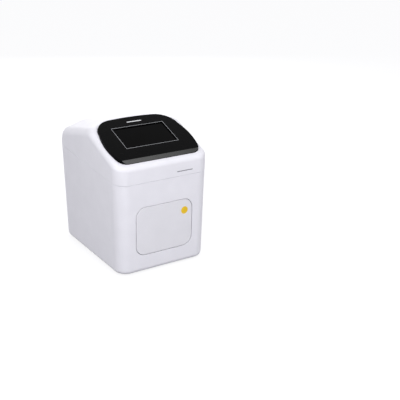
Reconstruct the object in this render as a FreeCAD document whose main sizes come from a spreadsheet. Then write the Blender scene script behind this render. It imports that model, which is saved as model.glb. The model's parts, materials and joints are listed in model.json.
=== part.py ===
"""Benchtop thermal cycler with a powered sample drawer, built piece by piece in millimetres.

+X is the instrument's right, the front faces -Y, +Z is up, and the origin is on the bench
under the middle of the body.
"""
import FreeCAD, Part
import math
import os
import Sketcher
from FreeCAD import Placement, Rotation, Vector

# Driving sizes: name, value. Angles are in degrees; counts are whole numbers.
SIZES = (
    # body shell
    ("body_width", 276.0),
    ("body_depth", 365.0),
    ("foot_height", 3.0),
    ("foot_radius", 10.0),
    ("foot_inset_x", 33.0),
    ("foot_inset_y", 34.5),
    ("shell_wall", 3.0),
    ("seam_front", 254.0),
    ("seam_rise", 28.0),
    ("draft_inset", 4.6),
    ("parting_step", 0.6),
    ("front_corner_radius", 34.0),
    ("back_corner_radius", 42.0),
    ("bottom_edge_radius", 13.0),
    # sloped top of the upper casing
    ("slope_angle", 21.3),
    ("slope_start_y", 15.8),
    ("slope_start_z", 306.0),
    ("crest_from_front", 195.5),
    ("roof_angle", 12.5),
    ("hip_side_fall", 0.30),
    ("hip_back_fall", 0.22),
    ("hip_start_x", 78.0),
    ("hip_drop", 2.5),
    ("front_edge_radius", 16.0),
    ("side_edge_radius", 15.0),
    ("hip_edge_radius", 24.0),
    ("back_edge_radius", 60.0),
    ("crest_radius", 35.0),
    # display: heights and depths from the window's lower edge, along and square to the glass
    ("display_from_front", 62.7),
    ("display_base", 331.9),
    ("display_tilt", 20.1),
    ("window_width", 153.0),
    ("window_height", 88.0),
    ("window_radius", 1.5),
    ("bezel_side_margin", 12.3),
    ("bezel_bow_height", 30.0),
    ("bezel_front_turn", 30.7),
    ("bezel_front", 53.0),
    ("bezel_top_inset", 6.5),
    ("bezel_top", 131.0),
    ("bezel_chamfer", 8.4),
    ("bezel_skin", 3.0),
    ("bezel_recess", 3.0),
    ("bezel_gap", 0.8),
    ("bezel_ledge", 8.0),
    ("glass_margin", 7.0),
    ("glass_thickness", 1.8),
    ("panel_margin", 6.0),
    ("panel_thickness", 6.0),
    ("bracket_sheet", 1.5),
    ("bracket_side_margin", 31.7),
    ("bracket_boss_radius", 4.0),
    ("board_spacer", 5.0),
    ("board_thickness", 1.6),
    # drawer opening and front
    ("opening_width", 172.0),
    ("opening_height", 136.6),
    ("opening_base", 51.0),
    ("opening_radius", 28.0),
    ("drawer_gap", 1.3),
    ("drawer_front_back", 9.0),
    # sheet-metal chassis
    ("base_sheet", 2.0),
    ("base_margin", 24.0),
    ("side_sheet", 2.0),
    ("chassis_height", 228.0),
    ("chassis_front_gap", 24.5),
    ("chassis_back_gap", 52.5),
    ("side_bay", 39.0),
    ("flange_screw_gap", 23.0),
    ("ear_gap", 48.0),
    ("ear_reach", 26.0),
    ("chassis_flange", 12.0),
    # sample drawer
    ("block_from_front", 87.5),
    ("rail_width", 15.0),
    ("tray_sheet", 2.0),
    ("tray_top", 96.0),
    ("tray_skirt", 30.0),
    ("runner_height", 8.0),
    ("runner_base", 74.0),
    ("runner_thickness", 9.0),
    ("runner_engagement", 4.0),
    ("running_gap", 0.3),
    ("rail_height", 20.0),
    ("rail_back_gap", 20.0),
    ("sink_side_margin", 14.0),
    ("sink_depth", 96.0),
    ("sink_base", 8.0),
    ("sink_window_margin", 6.0),
    ("fin_height", 38.0),
    ("fin_thickness", 1.6),
    ("fin_pitch", 6.0),
    ("fin_edge_margin", 12.0),
    ("peltier_size", 30.0),
    ("peltier_thickness", 3.6),
    ("peltier_gap", 4.0),
    ("well_pitch", 9.0),
    ("well_columns", 8),
    ("well_rows", 6),
    ("well_top_radius", 3.1),
    ("well_tip_radius", 1.4),
    ("well_depth", 14.0),
    ("block_margin", 6.0),
    ("block_height", 17.0),
    ("surround_height", 25.0),
    ("surround_wall", 2.5),
    ("surround_side_margin", 4.0),
    ("surround_half_depth", 64.0),
    ("block_clearance", 0.6),
    ("seal_width", 8.0),
    ("seal_thickness", 2.0),
    # drawer drive
    ("pulley_radius", 6.0),
    ("pulley_flange", 9.5),
    ("belt_thickness", 1.4),
    ("belt_width", 6.0),
    ("belt_gap", 0.35),
    ("belt_inset", 10.0),
    ("belt_centre_z", 113.0),
    ("shaft_radius", 2.5),
    ("shaft_clearance", 0.05),
    ("motor_size", 42.0),
    ("motor_length", 28.0),
    ("drive_pulley_gap", 68.0),
    ("idler_pulley_gap", 16.0),
    ("clamp_gap", 13.0),
    ("clamp_offset", 1.25),
    ("clamp_length", 20.0),
    # heated lid
    ("lid_clearance", 17.4),
    ("lid_plate_height", 8.0),
    ("lid_heater_height", 1.5),
    ("lid_frame_height", 12.0),
    ("lid_frame_half_width", 62.0),
    ("lid_frame_front", 41.0),
    ("lid_frame_back", 65.0),
    ("lid_sight_radius", 2.5),
    ("post_radius", 4.0),
    ("post_offset", 54.0),
    ("post_length", 100.0),
    ("screw_radius", 3.0),
    ("screw_offset", 55.0),
    ("nut_radius", 6.0),
    ("lid_motor_size", 28.0),
    ("lid_motor_height", 30.0),
    # optics
    ("aperture", 34.0),
    ("hood_height", 66.0),
    ("hood_wall", 2.0),
    ("camera_box_width", 90.0),
    ("camera_box_height", 44.0),
    ("camera_box_wall", 3.0),
    ("filter_size", 42.0),
    ("filter_thickness", 2.0),
    ("lens_radius", 13.0),
    ("lens_length", 20.0),
    # rear panel and its fittings
    ("rear_inset", 12.5),
    ("rear_sheet", 2.0),
    ("rear_side_margin", 38.0),
    ("rear_low", 25.0),
    ("rear_high", 235.0),
    ("rear_gap", 0.5),
    ("rear_ledge", 9.0),
    ("rear_ledge_depth", 4.0),
    ("rear_frame", 3.0),
    ("inlet_width", 27.0),
    ("inlet_height", 20.0),
    ("inlet_depth", 22.0),
    ("inlet_flange", 10.0),
    ("fitting_flange", 2.0),
    ("inlet_side_gap", 34.0),
    ("inlet_z", 62.0),
    ("switch_width", 13.0),
    ("switch_height", 19.0),
    ("switch_z", 98.0),
    ("switch_wall", 2.0),
    ("rocker_tilt", 8.0),
    ("rocker_pin", 1.5),
    ("fan_size", 80.0),
    ("fan_depth", 25.0),
    ("fan_bore", 38.0),
    ("fan_hub_radius", 17.0),
    ("fan_blades", 7),
    ("fan_side_gap", 62.0),
    ("fan_z", 150.0),
    ("slot_width", 3.0),
    ("slot_pitch", 6.0),
    ("slot_count", 11),
    ("port_z", 206.0),
    ("port_side_gap", 42.0),
    ("port_depth", 13.0),
    ("usb_width", 13.4),
    ("usb_height", 6.0),
    ("lan_width", 16.0),
    ("lan_height", 13.5),
    ("port_wall", 0.8),
    # electronics
    ("supply_length", 159.0),
    ("supply_width", 97.0),
    ("supply_depth", 30.0),
    ("supply_base", 20.0),
    ("board_side_gap", 21.0),
    ("board_length", 100.0),
    ("driver_length", 100.0),
    ("driver_height", 70.0),
    ("standoff_radius", 3.0),
    ("standoff_height", 6.0),
    # machine screws
    ("screw_head_radius", 3.0),
    ("screw_head_height", 2.0),
    ("screw_shank_radius", 1.5),
    ("screw_clearance", 0.1),
    ("screw_length", 8.0),
    ("foot_screw_length", 6.0),
)

AXIS_TURN = {
    "x": Rotation(Vector(0, 1, 0), 90),
    "y": Rotation(Vector(1, 0, 0), -90),
    "z": Rotation(),
}
AXIS_VECTOR = {"x": Vector(1, 0, 0), "y": Vector(0, 1, 0), "z": Vector(0, 0, 1)}
FAR = 900.0  # reach of a cutting slab, well past the whole body
TOUCH = 1e-4  # how near a point must be to count as lying on a plane

DOC = FreeCAD.newDocument("thermal_cycler")
SHEET = DOC.addObject("Spreadsheet::Sheet", "Sizes")
NODES = []


class Size:
    """A length that knows both its number and the sheet expression it comes from."""

    def __init__(self, value, text):
        self.value = float(value)
        self.text = text

    def joined(self, other, sign, value, swapped=False):
        first, second = text_of(self), text_of(other)
        if swapped:
            first, second = second, first
        return Size(value, f"({first} {sign} {second})")

    def __add__(self, other):
        return self.joined(other, "+", self.value + float(other))

    def __radd__(self, other):
        return self.joined(other, "+", float(other) + self.value, swapped=True)

    def __sub__(self, other):
        return self.joined(other, "-", self.value - float(other))

    def __rsub__(self, other):
        return self.joined(other, "-", float(other) - self.value, swapped=True)

    def __mul__(self, other):
        return self.joined(other, "*", self.value * float(other))

    def __rmul__(self, other):
        return self.joined(other, "*", float(other) * self.value, swapped=True)

    def __truediv__(self, other):
        return self.joined(other, "/", self.value / float(other))

    def __neg__(self):
        return Size(-self.value, f"(-1 * {self.text})")

    def __float__(self):
        return self.value

    def __int__(self):
        return int(self.value)


def text_of(value):
    """The expression text of a Size or a plain number."""
    return value.text if isinstance(value, Size) else f"{float(value):.6g}"


class Sizes:
    """The sheet's cells, one attribute each."""


S = Sizes()


def fill_sheet():
    """Writes every driving size into its own named cell."""
    for row, (name, value) in enumerate(SIZES, start=1):
        SHEET.set(f"A{row}", name)
        SHEET.set(f"B{row}", str(value))
        SHEET.setAlias(f"B{row}", name)
    DOC.recompute()
    for name, _ in SIZES:
        setattr(S, name, Size(getattr(SHEET, name), f"Sizes.{name}"))


fill_sheet()


# ---------------------------------------------------------------- modelling helpers

def bind(obj, prop, value):
    """Ties one property to the sheet, or sets a plain number."""
    if isinstance(value, Size):
        obj.setExpression(prop, value.text)
    elif "." not in prop:
        setattr(obj, prop, float(value))


def place(obj, x, y, z, turn=None):
    """Puts an object at a point, with an optional turn."""
    obj.Placement = Placement(Vector(float(x), float(y), float(z)), turn or Rotation())
    for name, value in (("x", x), ("y", y), ("z", z)):
        bind(obj, f"Placement.Base.{name}", value)
    return obj


def block(name, x, y, z):
    """A box from a low to a high place along each axis."""
    box = DOC.addObject("Part::Box", name)
    for prop, (low, high) in zip(("Length", "Width", "Height"), (x, y, z)):
        bind(box, prop, high - low)
    return place(box, x[0], y[0], z[0])


def rod(name, radius, at, length, along="z"):
    """A cylinder that starts at a point and runs along an axis."""
    cylinder = DOC.addObject("Part::Cylinder", name)
    bind(cylinder, "Radius", radius)
    bind(cylinder, "Height", length)
    return place(cylinder, *at, turn=AXIS_TURN[along])


def cone(name, low_radius, high_radius, at, length, along="z"):
    """A cone from one radius to another along an axis."""
    taper = DOC.addObject("Part::Cone", name)
    bind(taper, "Radius1", low_radius)
    bind(taper, "Radius2", high_radius)
    bind(taper, "Height", length)
    return place(taper, *at, turn=AXIS_TURN[along])


def join(name, *pieces):
    """One solid out of touching or overlapping pieces."""
    fused = DOC.addObject("Part::MultiFuse", name)
    fused.Shapes = list(pieces)
    fused.Refine = True
    return fused


def group(name, pieces):
    """Separate solids kept together as one object."""
    bundle = DOC.addObject("Part::Compound", name)
    bundle.Links = list(pieces)
    return bundle


def cut(name, base, *tools):
    """The base with each tool taken out of it in turn."""
    result = base
    for number, tool in enumerate(tools, start=1):
        piece = DOC.addObject("Part::Cut", name if number == len(tools) else f"{name}_{number}")
        piece.Base = result
        piece.Tool = tool
        result = piece
    return result


def common(name, first, second):
    """What two pieces share."""
    result = DOC.addObject("Part::Common", name)
    result.Base = first
    result.Tool = second
    return result


def rounded(name, base, radius, wanted):
    """The base with the wanted edges rounded."""
    DOC.recompute()
    fillet = DOC.addObject("Part::Fillet", name)
    fillet.Base = base
    chosen = []
    for number, edge in enumerate(base.Shape.Edges, start=1):
        if wanted(edge):
            chosen.append((number, float(radius), float(radius)))
    fillet.Edges = chosen
    return fillet


def runs_along(axis):
    """Picks straight edges parallel to an axis."""
    direction = AXIS_VECTOR[axis]

    def wanted(edge):
        ends = edge.Vertexes
        if len(ends) != 2:
            return False
        run = ends[1].Point - ends[0].Point
        return run.Length > TOUCH and run.cross(direction).Length < TOUCH * run.Length
    return wanted


def rounded_block(name, x, y, z, radius, along):
    """A box whose four edges along one axis are rounded."""
    return rounded(name, block(f"{name}_box", x, y, z), radius, runs_along(along))


def both_ways(middle, half):
    """The span from half below to half above a middle."""
    return (middle - half, middle + half)


def node(label, obj):
    """Names a finished piece, which becomes one exported file."""
    obj.Label = label
    NODES.append(obj)
    return obj


# Sketch-based bodies

def new_body(name):
    return DOC.addObject("PartDesign::Body", name)


def origin_plane(body, role):
    """One of a body's own origin planes, found by its role."""
    for feature in body.Origin.OriginFeatures:
        if feature.Role == role:
            return feature
    raise ValueError(role)


def new_sketch(body, name, role, offset):
    """A sketch on an origin plane, moved off it along the plane's normal."""
    sketch = body.newObject("Sketcher::SketchObject", name)
    sketch.AttachmentSupport = (origin_plane(body, role), [""])
    sketch.MapMode = "FlatFace"
    sketch.AttachmentOffset = Placement(Vector(0, 0, float(offset)), Rotation())
    bind(sketch, "AttachmentOffset.Base.z", offset)
    return sketch


def hold(sketch, name, *constraint):
    """Adds a named distance or radius, tied to the sheet where its value is a Size."""
    value = constraint[-1]
    number = sketch.addConstraint(Sketcher.Constraint(*constraint[:-1], float(value)))
    sketch.renameConstraint(number, name)
    if isinstance(value, Size):
        sketch.setExpression(f"Constraints.{name}", value.text)


def draw_rectangle(sketch, x, y, radius=None, tag=""):
    """A rectangle by its four sides, with rounded corners where a radius is given."""
    left, right, low, high = float(x[0]), float(x[1]), float(y[0]), float(y[1])
    r = float(radius) if radius is not None else 0.0
    first = sketch.GeometryCount
    runs = (((left + r, low), (right - r, low)), ((right, low + r), (right, high - r)),
            ((right - r, high), (left + r, high)), ((left, high - r), (left, low + r)))
    for start, end in runs:
        sketch.addGeometry(Part.LineSegment(Vector(*start, 0), Vector(*end, 0)), False)
    if radius is None:
        for side in range(4):
            following = first + (side + 1) % 4
            sketch.addConstraint(Sketcher.Constraint("Coincident", first + side, 2, following, 1))
    else:
        centres = ((right - r, low + r), (right - r, high - r), (left + r, high - r), (left + r, low + r))
        for side, centre in enumerate(centres):
            start = math.radians(270 + 90 * side)
            circle = Part.Circle(Vector(*centre, 0), Vector(0, 0, 1), r)
            sketch.addGeometry(Part.ArcOfCircle(circle, start, start + math.pi / 2), False)
            arc = first + 4 + side
            following = first + (side + 1) % 4
            sketch.addConstraint(Sketcher.Constraint("Tangent", first + side, 2, arc, 1))
            sketch.addConstraint(Sketcher.Constraint("Tangent", arc, 2, following, 1))
            if side:
                sketch.addConstraint(Sketcher.Constraint("Equal", first + 4, arc))
        hold(sketch, f"{tag}radius", "Radius", first + 4, radius)
    for side, kind in enumerate(("Horizontal", "Vertical", "Horizontal", "Vertical")):
        sketch.addConstraint(Sketcher.Constraint(kind, first + side))
    hold(sketch, f"{tag}left", "DistanceX", -1, 1, first + 3, 1, x[0])
    hold(sketch, f"{tag}right", "DistanceX", -1, 1, first + 1, 1, x[1])
    hold(sketch, f"{tag}low", "DistanceY", -1, 1, first, 1, y[0])
    hold(sketch, f"{tag}high", "DistanceY", -1, 1, first + 2, 1, y[1])


def draw_circle(sketch, x, y, radius, tag=""):
    """A circle by its centre and radius."""
    number = sketch.addGeometry(Part.Circle(Vector(float(x), float(y), 0), Vector(0, 0, 1), float(radius)))
    hold(sketch, f"{tag}radius", "Radius", number, radius)
    hold(sketch, f"{tag}x", "DistanceX", -1, 1, number, 3, x)
    hold(sketch, f"{tag}y", "DistanceY", -1, 1, number, 3, y)


def pad(body, sketch, length, reverse=False):
    feature = body.newObject("PartDesign::Pad", f"{sketch.Name}_pad")
    feature.Profile = sketch
    bind(feature, "Length", length)
    feature.Reversed = reverse
    DOC.recompute()
    return feature


def pocket(body, sketch, length, reverse=False):
    """Cuts a sketch into a body, and makes sure that it did cut."""
    before = body.Shape.Volume
    feature = body.newObject("PartDesign::Pocket", f"{sketch.Name}_cut")
    feature.Profile = sketch
    bind(feature, "Length", length)
    feature.Reversed = reverse
    DOC.recompute()
    if not body.Shape.Volume < before:
        raise ValueError(f"{feature.Name} cuts nothing")
    return feature


# ---------------------------------------------------------------- shared places

half_width = S.body_width / 2
half_depth = S.body_depth / 2
chassis_half_width = half_width - S.shell_wall - S.side_bay
chassis_length = S.body_depth - S.chassis_front_gap - S.chassis_back_gap
bezel_half_width = half_width - S.bezel_side_margin
rear_half_width = half_width - S.rear_side_margin
bracket_half_width = bezel_half_width - S.bracket_side_margin
inlet_x = rear_half_width - S.inlet_side_gap
port_x = rear_half_width - S.port_side_gap
fan_x = S.fan_side_gap - rear_half_width
front = -half_depth
floor_low = S.foot_height
floor_top = floor_low + S.shell_wall
sheet_top = floor_top + S.base_sheet
deck_low = sheet_top + S.chassis_height
deck_top = deck_low + S.side_sheet
chassis_front = front + S.chassis_front_gap
chassis_back = chassis_front + chassis_length
chassis_inside = chassis_half_width - S.side_sheet
tray_half_width = chassis_inside - S.rail_width + S.runner_engagement - S.runner_thickness
surround_half_width = tray_half_width - S.surround_side_margin
sink_half_width = tray_half_width - S.sink_side_margin
fin_count = int((float(sink_half_width) - float(S.fin_edge_margin)) * 2 / float(S.fin_pitch) + 1e-6) + 1
board_half_width = chassis_half_width - S.board_side_gap
opening_top = S.opening_base + S.opening_height
block_y = front + S.block_from_front
tray_front = front + S.drawer_front_back + S.tray_sheet
sink_top = S.tray_top + S.sink_base
block_low = sink_top + S.peltier_thickness
block_top = block_low + S.block_height
block_half_x = S.well_pitch * S.well_columns / 2 + S.block_margin
block_half_y = S.well_pitch * S.well_rows / 2 + S.block_margin
surround_top = S.tray_top + S.surround_height
lid_low = block_top + S.lid_clearance
heater_low = lid_low + S.lid_plate_height
carrier_low = heater_low + S.lid_heater_height
carrier_top = carrier_low + S.lid_frame_height
post_low = deck_low - S.post_length
screw_y = block_y + S.screw_offset
panel_y = half_depth - S.rear_inset
belt_x = -(chassis_inside - S.belt_inset)
clearance_hole = S.screw_shank_radius + S.screw_clearance
seam_slope = S.seam_rise / float(half_depth * 2)


def seam_at(y):
    """Height of the parting line between the two casings."""
    return S.seam_front + (y - front) * float(seam_slope)


def shifted(at, along, distance):
    """A place moved along one axis."""
    return tuple(value + distance if axis == along else value for axis, value in zip("xyz", at))


def screw(name, seat, along="z", forward=True, length=S.screw_length):
    """A pan-head screw: seat is the middle of its head's underside, and the shank runs along an axis."""
    head_start = shifted(seat, along, -S.screw_head_height) if forward else seat
    shank_start = seat if forward else shifted(seat, along, -length)
    head = rod(f"{name}_head", S.screw_head_radius, head_start, S.screw_head_height, along)
    return join(name, head, rod(f"{name}_shank", S.screw_shank_radius, shank_start, length, along))


def mirrored(places):
    """The places with their twins on the other side of the body."""
    return [(side * x, *rest) for x, *rest in places for side in (-1.0, 1.0)]


# ---------------------------------------------------------------- casing forms

def half_space(name, point, normal, inset):
    """A slab whose near face passes through a point, moved inward by an inset."""
    slab = DOC.addObject("Part::Box", name)
    slab.Length = slab.Width = slab.Height = FAR
    corner = Placement(Vector(-FAR / 2, -FAR / 2, 0), Rotation())
    slab.Placement = Placement(point - normal * inset, Rotation(Vector(0, 0, 1), normal)).multiply(corner)
    return slab


def lower_planes():
    """The drafted walls of the lower casing: kind, a point on the plane, its outward normal."""
    reach_x = float(half_width - S.parting_step)
    reach_y = float(half_depth - S.parting_step)
    draft = math.atan2(float(S.draft_inset), float(S.seam_front - floor_low))
    out, down, top = math.cos(draft), -math.sin(draft), float(S.seam_front)
    return (
        ("side", Vector(reach_x, 0, top), Vector(out, 0, down)),
        ("side", Vector(-reach_x, 0, top), Vector(-out, 0, down)),
        ("front", Vector(0, -reach_y, top), Vector(0, -out, down)),
        ("back", Vector(0, reach_y, top), Vector(0, out, down)),
        ("bottom", Vector(0, 0, float(floor_low)), Vector(0, 0, -1)),
    )


def slope_height(y):
    """Height of the sloping front of the upper casing."""
    start = float(front + S.slope_start_y)
    return float(S.slope_start_z) + (y - start) * math.tan(math.radians(float(S.slope_angle)))


def upper_planes():
    """The upright walls, slope, roof and rear corners of the upper casing."""
    reach_x, reach_y = float(half_width), float(half_depth)
    slope, roof = math.radians(float(S.slope_angle)), math.radians(float(S.roof_angle))
    crest_y = float(front + S.crest_from_front)
    crest_z = slope_height(crest_y)
    hip_z = crest_z - float(S.hip_drop)
    planes = [
        ("side", Vector(reach_x, 0, 0), Vector(1, 0, 0)),
        ("side", Vector(-reach_x, 0, 0), Vector(-1, 0, 0)),
        ("front", Vector(0, -reach_y, 0), Vector(0, -1, 0)),
        ("back", Vector(0, reach_y, 0), Vector(0, 1, 0)),
        ("top", Vector(0, crest_y, crest_z), Vector(0, -math.sin(slope), math.cos(slope))),
        ("roof", Vector(0, crest_y, crest_z), Vector(0, math.sin(roof), math.cos(roof))),
    ]
    for side in (-1, 1):
        lean = Vector(side * float(S.hip_side_fall), float(S.hip_back_fall), 1).normalize()
        planes.append(("hip", Vector(side * float(S.hip_start_x), crest_y, hip_z), lean))
    return planes


EDGE_RADII = {
    frozenset(("side", "front")): "front_corner_radius",
    frozenset(("side", "back")): "back_corner_radius",
    frozenset(("side", "bottom")): "bottom_edge_radius",
    frozenset(("front", "bottom")): "bottom_edge_radius",
    frozenset(("back", "bottom")): "bottom_edge_radius",
    frozenset(("front", "top")): "front_edge_radius",
    frozenset(("side", "top")): "side_edge_radius",
    frozenset(("side", "hip")): "hip_edge_radius",
    frozenset(("back", "roof")): "back_edge_radius",
    frozenset(("back", "hip")): "back_edge_radius",
    frozenset(("top", "roof")): "crest_radius",
    frozenset(("top", "hip")): "crest_radius",
    frozenset(("roof", "hip")): "crest_radius",
}


def casing_form(name, planes, low, high, inset):
    """The solid inside all the planes, moved in by an inset, with its edges rounded."""
    solid = block(f"{name}_stock", (-half_width * 2, half_width * 2), (front * 2, half_depth * 2), (low, high))
    for number, (_, point, normal) in enumerate(planes):
        solid = cut(f"{name}_trim_{number}", solid, half_space(f"{name}_plane_{number}", point, normal, inset))
    solid.Refine = True
    DOC.recompute()
    chosen = []
    for number, edge in enumerate(solid.Shape.Edges, start=1):
        middle = edge.valueAt((edge.FirstParameter + edge.LastParameter) / 2)
        kinds = frozenset(kind for kind, point, normal in planes
                          if abs((middle - point).dot(normal) + inset) < TOUCH)
        if kinds in EDGE_RADII:
            radius = float(getattr(S, EDGE_RADII[kinds])) - inset
            chosen.append((number, radius, radius))
    fillet = DOC.addObject("Part::Fillet", f"{name}_form")
    fillet.Base = solid
    fillet.Edges = chosen
    return fillet


def tilted_frame(tilt, y, z):
    """A frame lying on a sloping face: x across, y up the slope, z out of it."""
    return Placement(Vector(0, float(y), float(z)), Rotation(Vector(1, 0, 0), float(tilt)))


def lay(obj, frame, tilt, y, z):
    """Lays a piece that was made flat onto a sloping face."""
    obj.Placement = frame
    bind(obj, "Placement.Base.y", y)
    bind(obj, "Placement.Base.z", z)
    bind(obj, "Placement.Rotation.Angle", tilt)
    return obj


DISPLAY = (tilted_frame(S.display_tilt, front + S.display_from_front, S.display_base),
           S.display_tilt, front + S.display_from_front, S.display_base)
SLOPE = (tilted_frame(S.slope_angle, front + S.slope_start_y, S.slope_start_z),
         S.slope_angle, front + S.slope_start_y, S.slope_start_z)
UP = Vector(0, 0, 1)
SEAM_POINT = Vector(0, float(front), float(S.seam_front))
SEAM_NORMAL = Vector(0, -float(seam_slope), 1).normalize()


def below_slope(name, depth):
    """Everything lower than a depth under the sloping face."""
    point = SLOPE[0].Base - SLOPE[0].Rotation.multVec(UP) * float(depth)
    return half_space(name, point, SLOPE[0].Rotation.multVec(-UP), 0.0)


def above_slope(name, depth):
    """Everything higher than a depth under the sloping face."""
    point = SLOPE[0].Base - SLOPE[0].Rotation.multVec(UP) * float(depth)
    return half_space(name, point, SLOPE[0].Rotation.multVec(UP), 0.0)


def bezel_outline():
    """The bezel's edge seen square to the glass: straight front, bowed sides, arched top."""
    sketch = DOC.addObject("Sketcher::SketchObject", "bezel_outline")
    wide, front_v = float(bezel_half_width), -float(S.bezel_front)
    near, bow = wide - float(S.bezel_front_turn), float(S.bezel_bow_height)
    far, top_v = float(S.window_width) / 2 - float(S.bezel_top_inset), float(S.bezel_top)
    corner = Vector(wide - 5.7, front_v + 20.0, 0)
    corner_mid = Vector(near + 17.0, front_v + 6.2, 0)
    shoulder = Vector(wide - 7.7, bow + 45.0, 0)
    shoulder_mid = Vector(wide - 20.7, bow + 78.0, 0)
    crown = Vector(far, top_v - 3.5, 0)
    sketch.addGeometry(Part.LineSegment(Vector(-near, front_v, 0), Vector(near, front_v, 0)), False)
    for side in (-1, 1):
        def at(point):
            return Vector(side * point.x, point.y, 0)
        for start, through, end in ((Vector(near, front_v, 0), corner_mid, corner),
                                    (corner, Vector(wide, bow, 0), shoulder),
                                    (shoulder, shoulder_mid, crown)):
            sketch.addGeometry(Part.Arc(at(start), at(through), at(end)), False)
    sketch.addGeometry(Part.Arc(Vector(-far, crown.y, 0), Vector(0, top_v, 0), crown), False)
    return sketch


OUTLINE = bezel_outline()


def bezel_prism(name, grow, low, high):
    """The bezel's outline, grown by a margin, as a prism between two depths on the display."""
    profile = OUTLINE
    if float(grow):
        profile = DOC.addObject("Part::Offset2D", f"{name}_outline")
        profile.Source = OUTLINE
        bind(profile, "Value", grow)
    prism = DOC.addObject("Part::Extrusion", name)
    prism.Base = profile
    prism.DirMode = "Custom"
    prism.Dir = UP
    prism.Solid = True
    bind(prism, "LengthFwd", high - low)
    lifted = DISPLAY[0].multiply(Placement(Vector(0, 0, float(low)), Rotation()))
    prism.Placement = lifted
    return prism


# ---------------------------------------------------------------- casing

LOWER = lower_planes()
UPPER = upper_planes()
form_top = S.seam_front + S.seam_rise + 20.0
lower_outer = casing_form("lower_outer", LOWER, floor_low, form_top, 0.0)
lower_inner = casing_form("lower_inner", LOWER, floor_low, form_top, float(S.shell_wall))
upper_outer = casing_form("upper_outer", UPPER, S.seam_front - 60.0, S.slope_start_z * 2, 0.0)
upper_inner = casing_form("upper_inner", UPPER, S.seam_front - 60.0, S.slope_start_z * 2,
                          float(S.shell_wall))
over_seam = half_space("over_seam", SEAM_POINT, SEAM_NORMAL, 0.0)
under_seam = half_space("under_seam", SEAM_POINT, -SEAM_NORMAL, 0.0)

rear_outer = block("rear_frame_outer", both_ways(0.0, rear_half_width + S.rear_frame),
                   (panel_y - S.rear_ledge_depth, half_depth * 2),
                   (S.rear_low - S.rear_frame, S.rear_high + S.rear_frame))
rear_mouth = block("rear_mouth", both_ways(0.0, rear_half_width), (panel_y, half_depth * 2),
                   (S.rear_low, S.rear_high))
rear_pass = block("rear_pass", both_ways(0.0, rear_half_width - S.rear_ledge),
                  (panel_y - S.rear_ledge_depth * 2, half_depth * 2),
                  (S.rear_low + S.rear_ledge, S.rear_high - S.rear_ledge))
front_mouth = rounded_block("front_mouth", both_ways(0.0, S.opening_width / 2), (front * 2, front + 30.0),
                            (S.opening_base, opening_top), S.opening_radius, "y")

foot_places = mirrored([(half_width - S.foot_inset_x, side * (half_depth - S.foot_inset_y))
                        for side in (-1.0, 1.0)])
slot_places = [(S.slot_pitch * 2 * (step - S.slot_count / 2 + 0.5), block_y) for step in range(int(S.slot_count))]


def floor_cuts(name):
    """Screw holes over the feet and the intake slots under the heat sink."""
    tools = []
    for number, (x, y) in enumerate(foot_places):
        tools.append(rod(f"{name}_hole_{number}", clearance_hole, (x, y, 0.0), sheet_top + 1.0))
    for number, (x, y) in enumerate(slot_places):
        tools.append(block(f"{name}_slot_{number}", both_ways(x, S.slot_width / 2),
                           both_ways(y, S.sink_depth / 2), (0.0, sheet_top + 1.0)))
    return group(f"{name}_cuts", tools)


rear_screw_places = [(side * (rear_half_width - S.rear_ledge / 2), height)
                     for side in (-1.0, 1.0)
                     for height in (S.rear_low + S.rear_ledge / 2 + 12.0, S.rear_high - S.rear_ledge / 2 - 12.0)]
tub_shell = cut("tub_shell", cut("tub_closed", lower_outer, over_seam), lower_inner)
rear_frame = common("rear_frame", rear_outer, lower_outer)
tub_open = cut("tub_open", join("tub_framed", tub_shell, rear_frame), rear_mouth, rear_pass, front_mouth)
rear_holes = group("tub_rear_holes", [
    rod(f"tub_rear_hole_{number}", S.screw_shank_radius + S.shaft_clearance,
        (x, panel_y - S.rear_ledge_depth * 2, z), S.rear_ledge_depth * 3, "y")
    for number, (x, z) in enumerate(rear_screw_places)])
node("lower_casing", cut("lower_casing_body", tub_open, floor_cuts("tub"), rear_holes))

# Upper casing: a thin shell with a thicker ledge under the bezel and four hanging bosses
ear_ys = (chassis_front + S.ear_gap, chassis_back - S.ear_gap)
ear_places = mirrored([(chassis_half_width + S.ear_reach - 7.0, y) for y in ear_ys])
bosses = []
for number, (x, y) in enumerate(ear_places):
    side = -1.0 if float(x) < 0 else 1.0
    inner, outer = sorted((x, side * (half_width - S.shell_wall / 2)), key=float)
    bosses.append(rod(f"cover_boss_{number}", S.standoff_radius + 2.0, (x, y, deck_top),
                      seam_at(y) + 16.0 - deck_top))
    bosses.append(block(f"cover_web_{number}", (inner, outer), both_ways(y, S.side_sheet),
                        (seam_at(y) + 1.0, seam_at(y) + 16.0)))
cover_shell = cut("cover_shell", cut("cover_closed", upper_outer, under_seam), upper_inner)
ledge_depth = S.bezel_recess + S.shell_wall
ledge_pad = cut("ledge_pad", common("ledge_stock", bezel_prism("ledge_prism", S.bezel_ledge / 2, -60.0, 10.0),
                                    upper_outer),
                below_slope("ledge_under", ledge_depth), above_slope("ledge_over", S.shell_wall / 2))
cover_ledged = join("cover_ledged", cover_shell, ledge_pad, *bosses)
bezel_pocket = cut("bezel_pocket", bezel_prism("pocket_prism", S.bezel_gap, -60.0, 40.0),
                   below_slope("pocket_floor", S.bezel_recess))
bezel_pass = bezel_prism("bezel_pass", -S.bezel_ledge, -60.0, 40.0)
bezel_screw_places = mirrored([(bezel_half_width - 5.2, 80.0), (60.0, 176.5)])
ledge_holes = lay(group("ledge_holes", [
    rod(f"ledge_hole_{number}", clearance_hole, (x, y, -ledge_depth * 2), ledge_depth * 2)
    for number, (x, y) in enumerate(bezel_screw_places)]), *SLOPE)
boss_holes = group("boss_holes", [
    rod(f"boss_hole_{number}", S.screw_shank_radius + S.shaft_clearance, (x, y, deck_low), S.screw_length * 2)
    for number, (x, y) in enumerate(ear_places)])
node("upper_casing", cut("upper_casing_body", cover_ledged, bezel_pocket, bezel_pass, ledge_holes, boss_holes))


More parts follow.
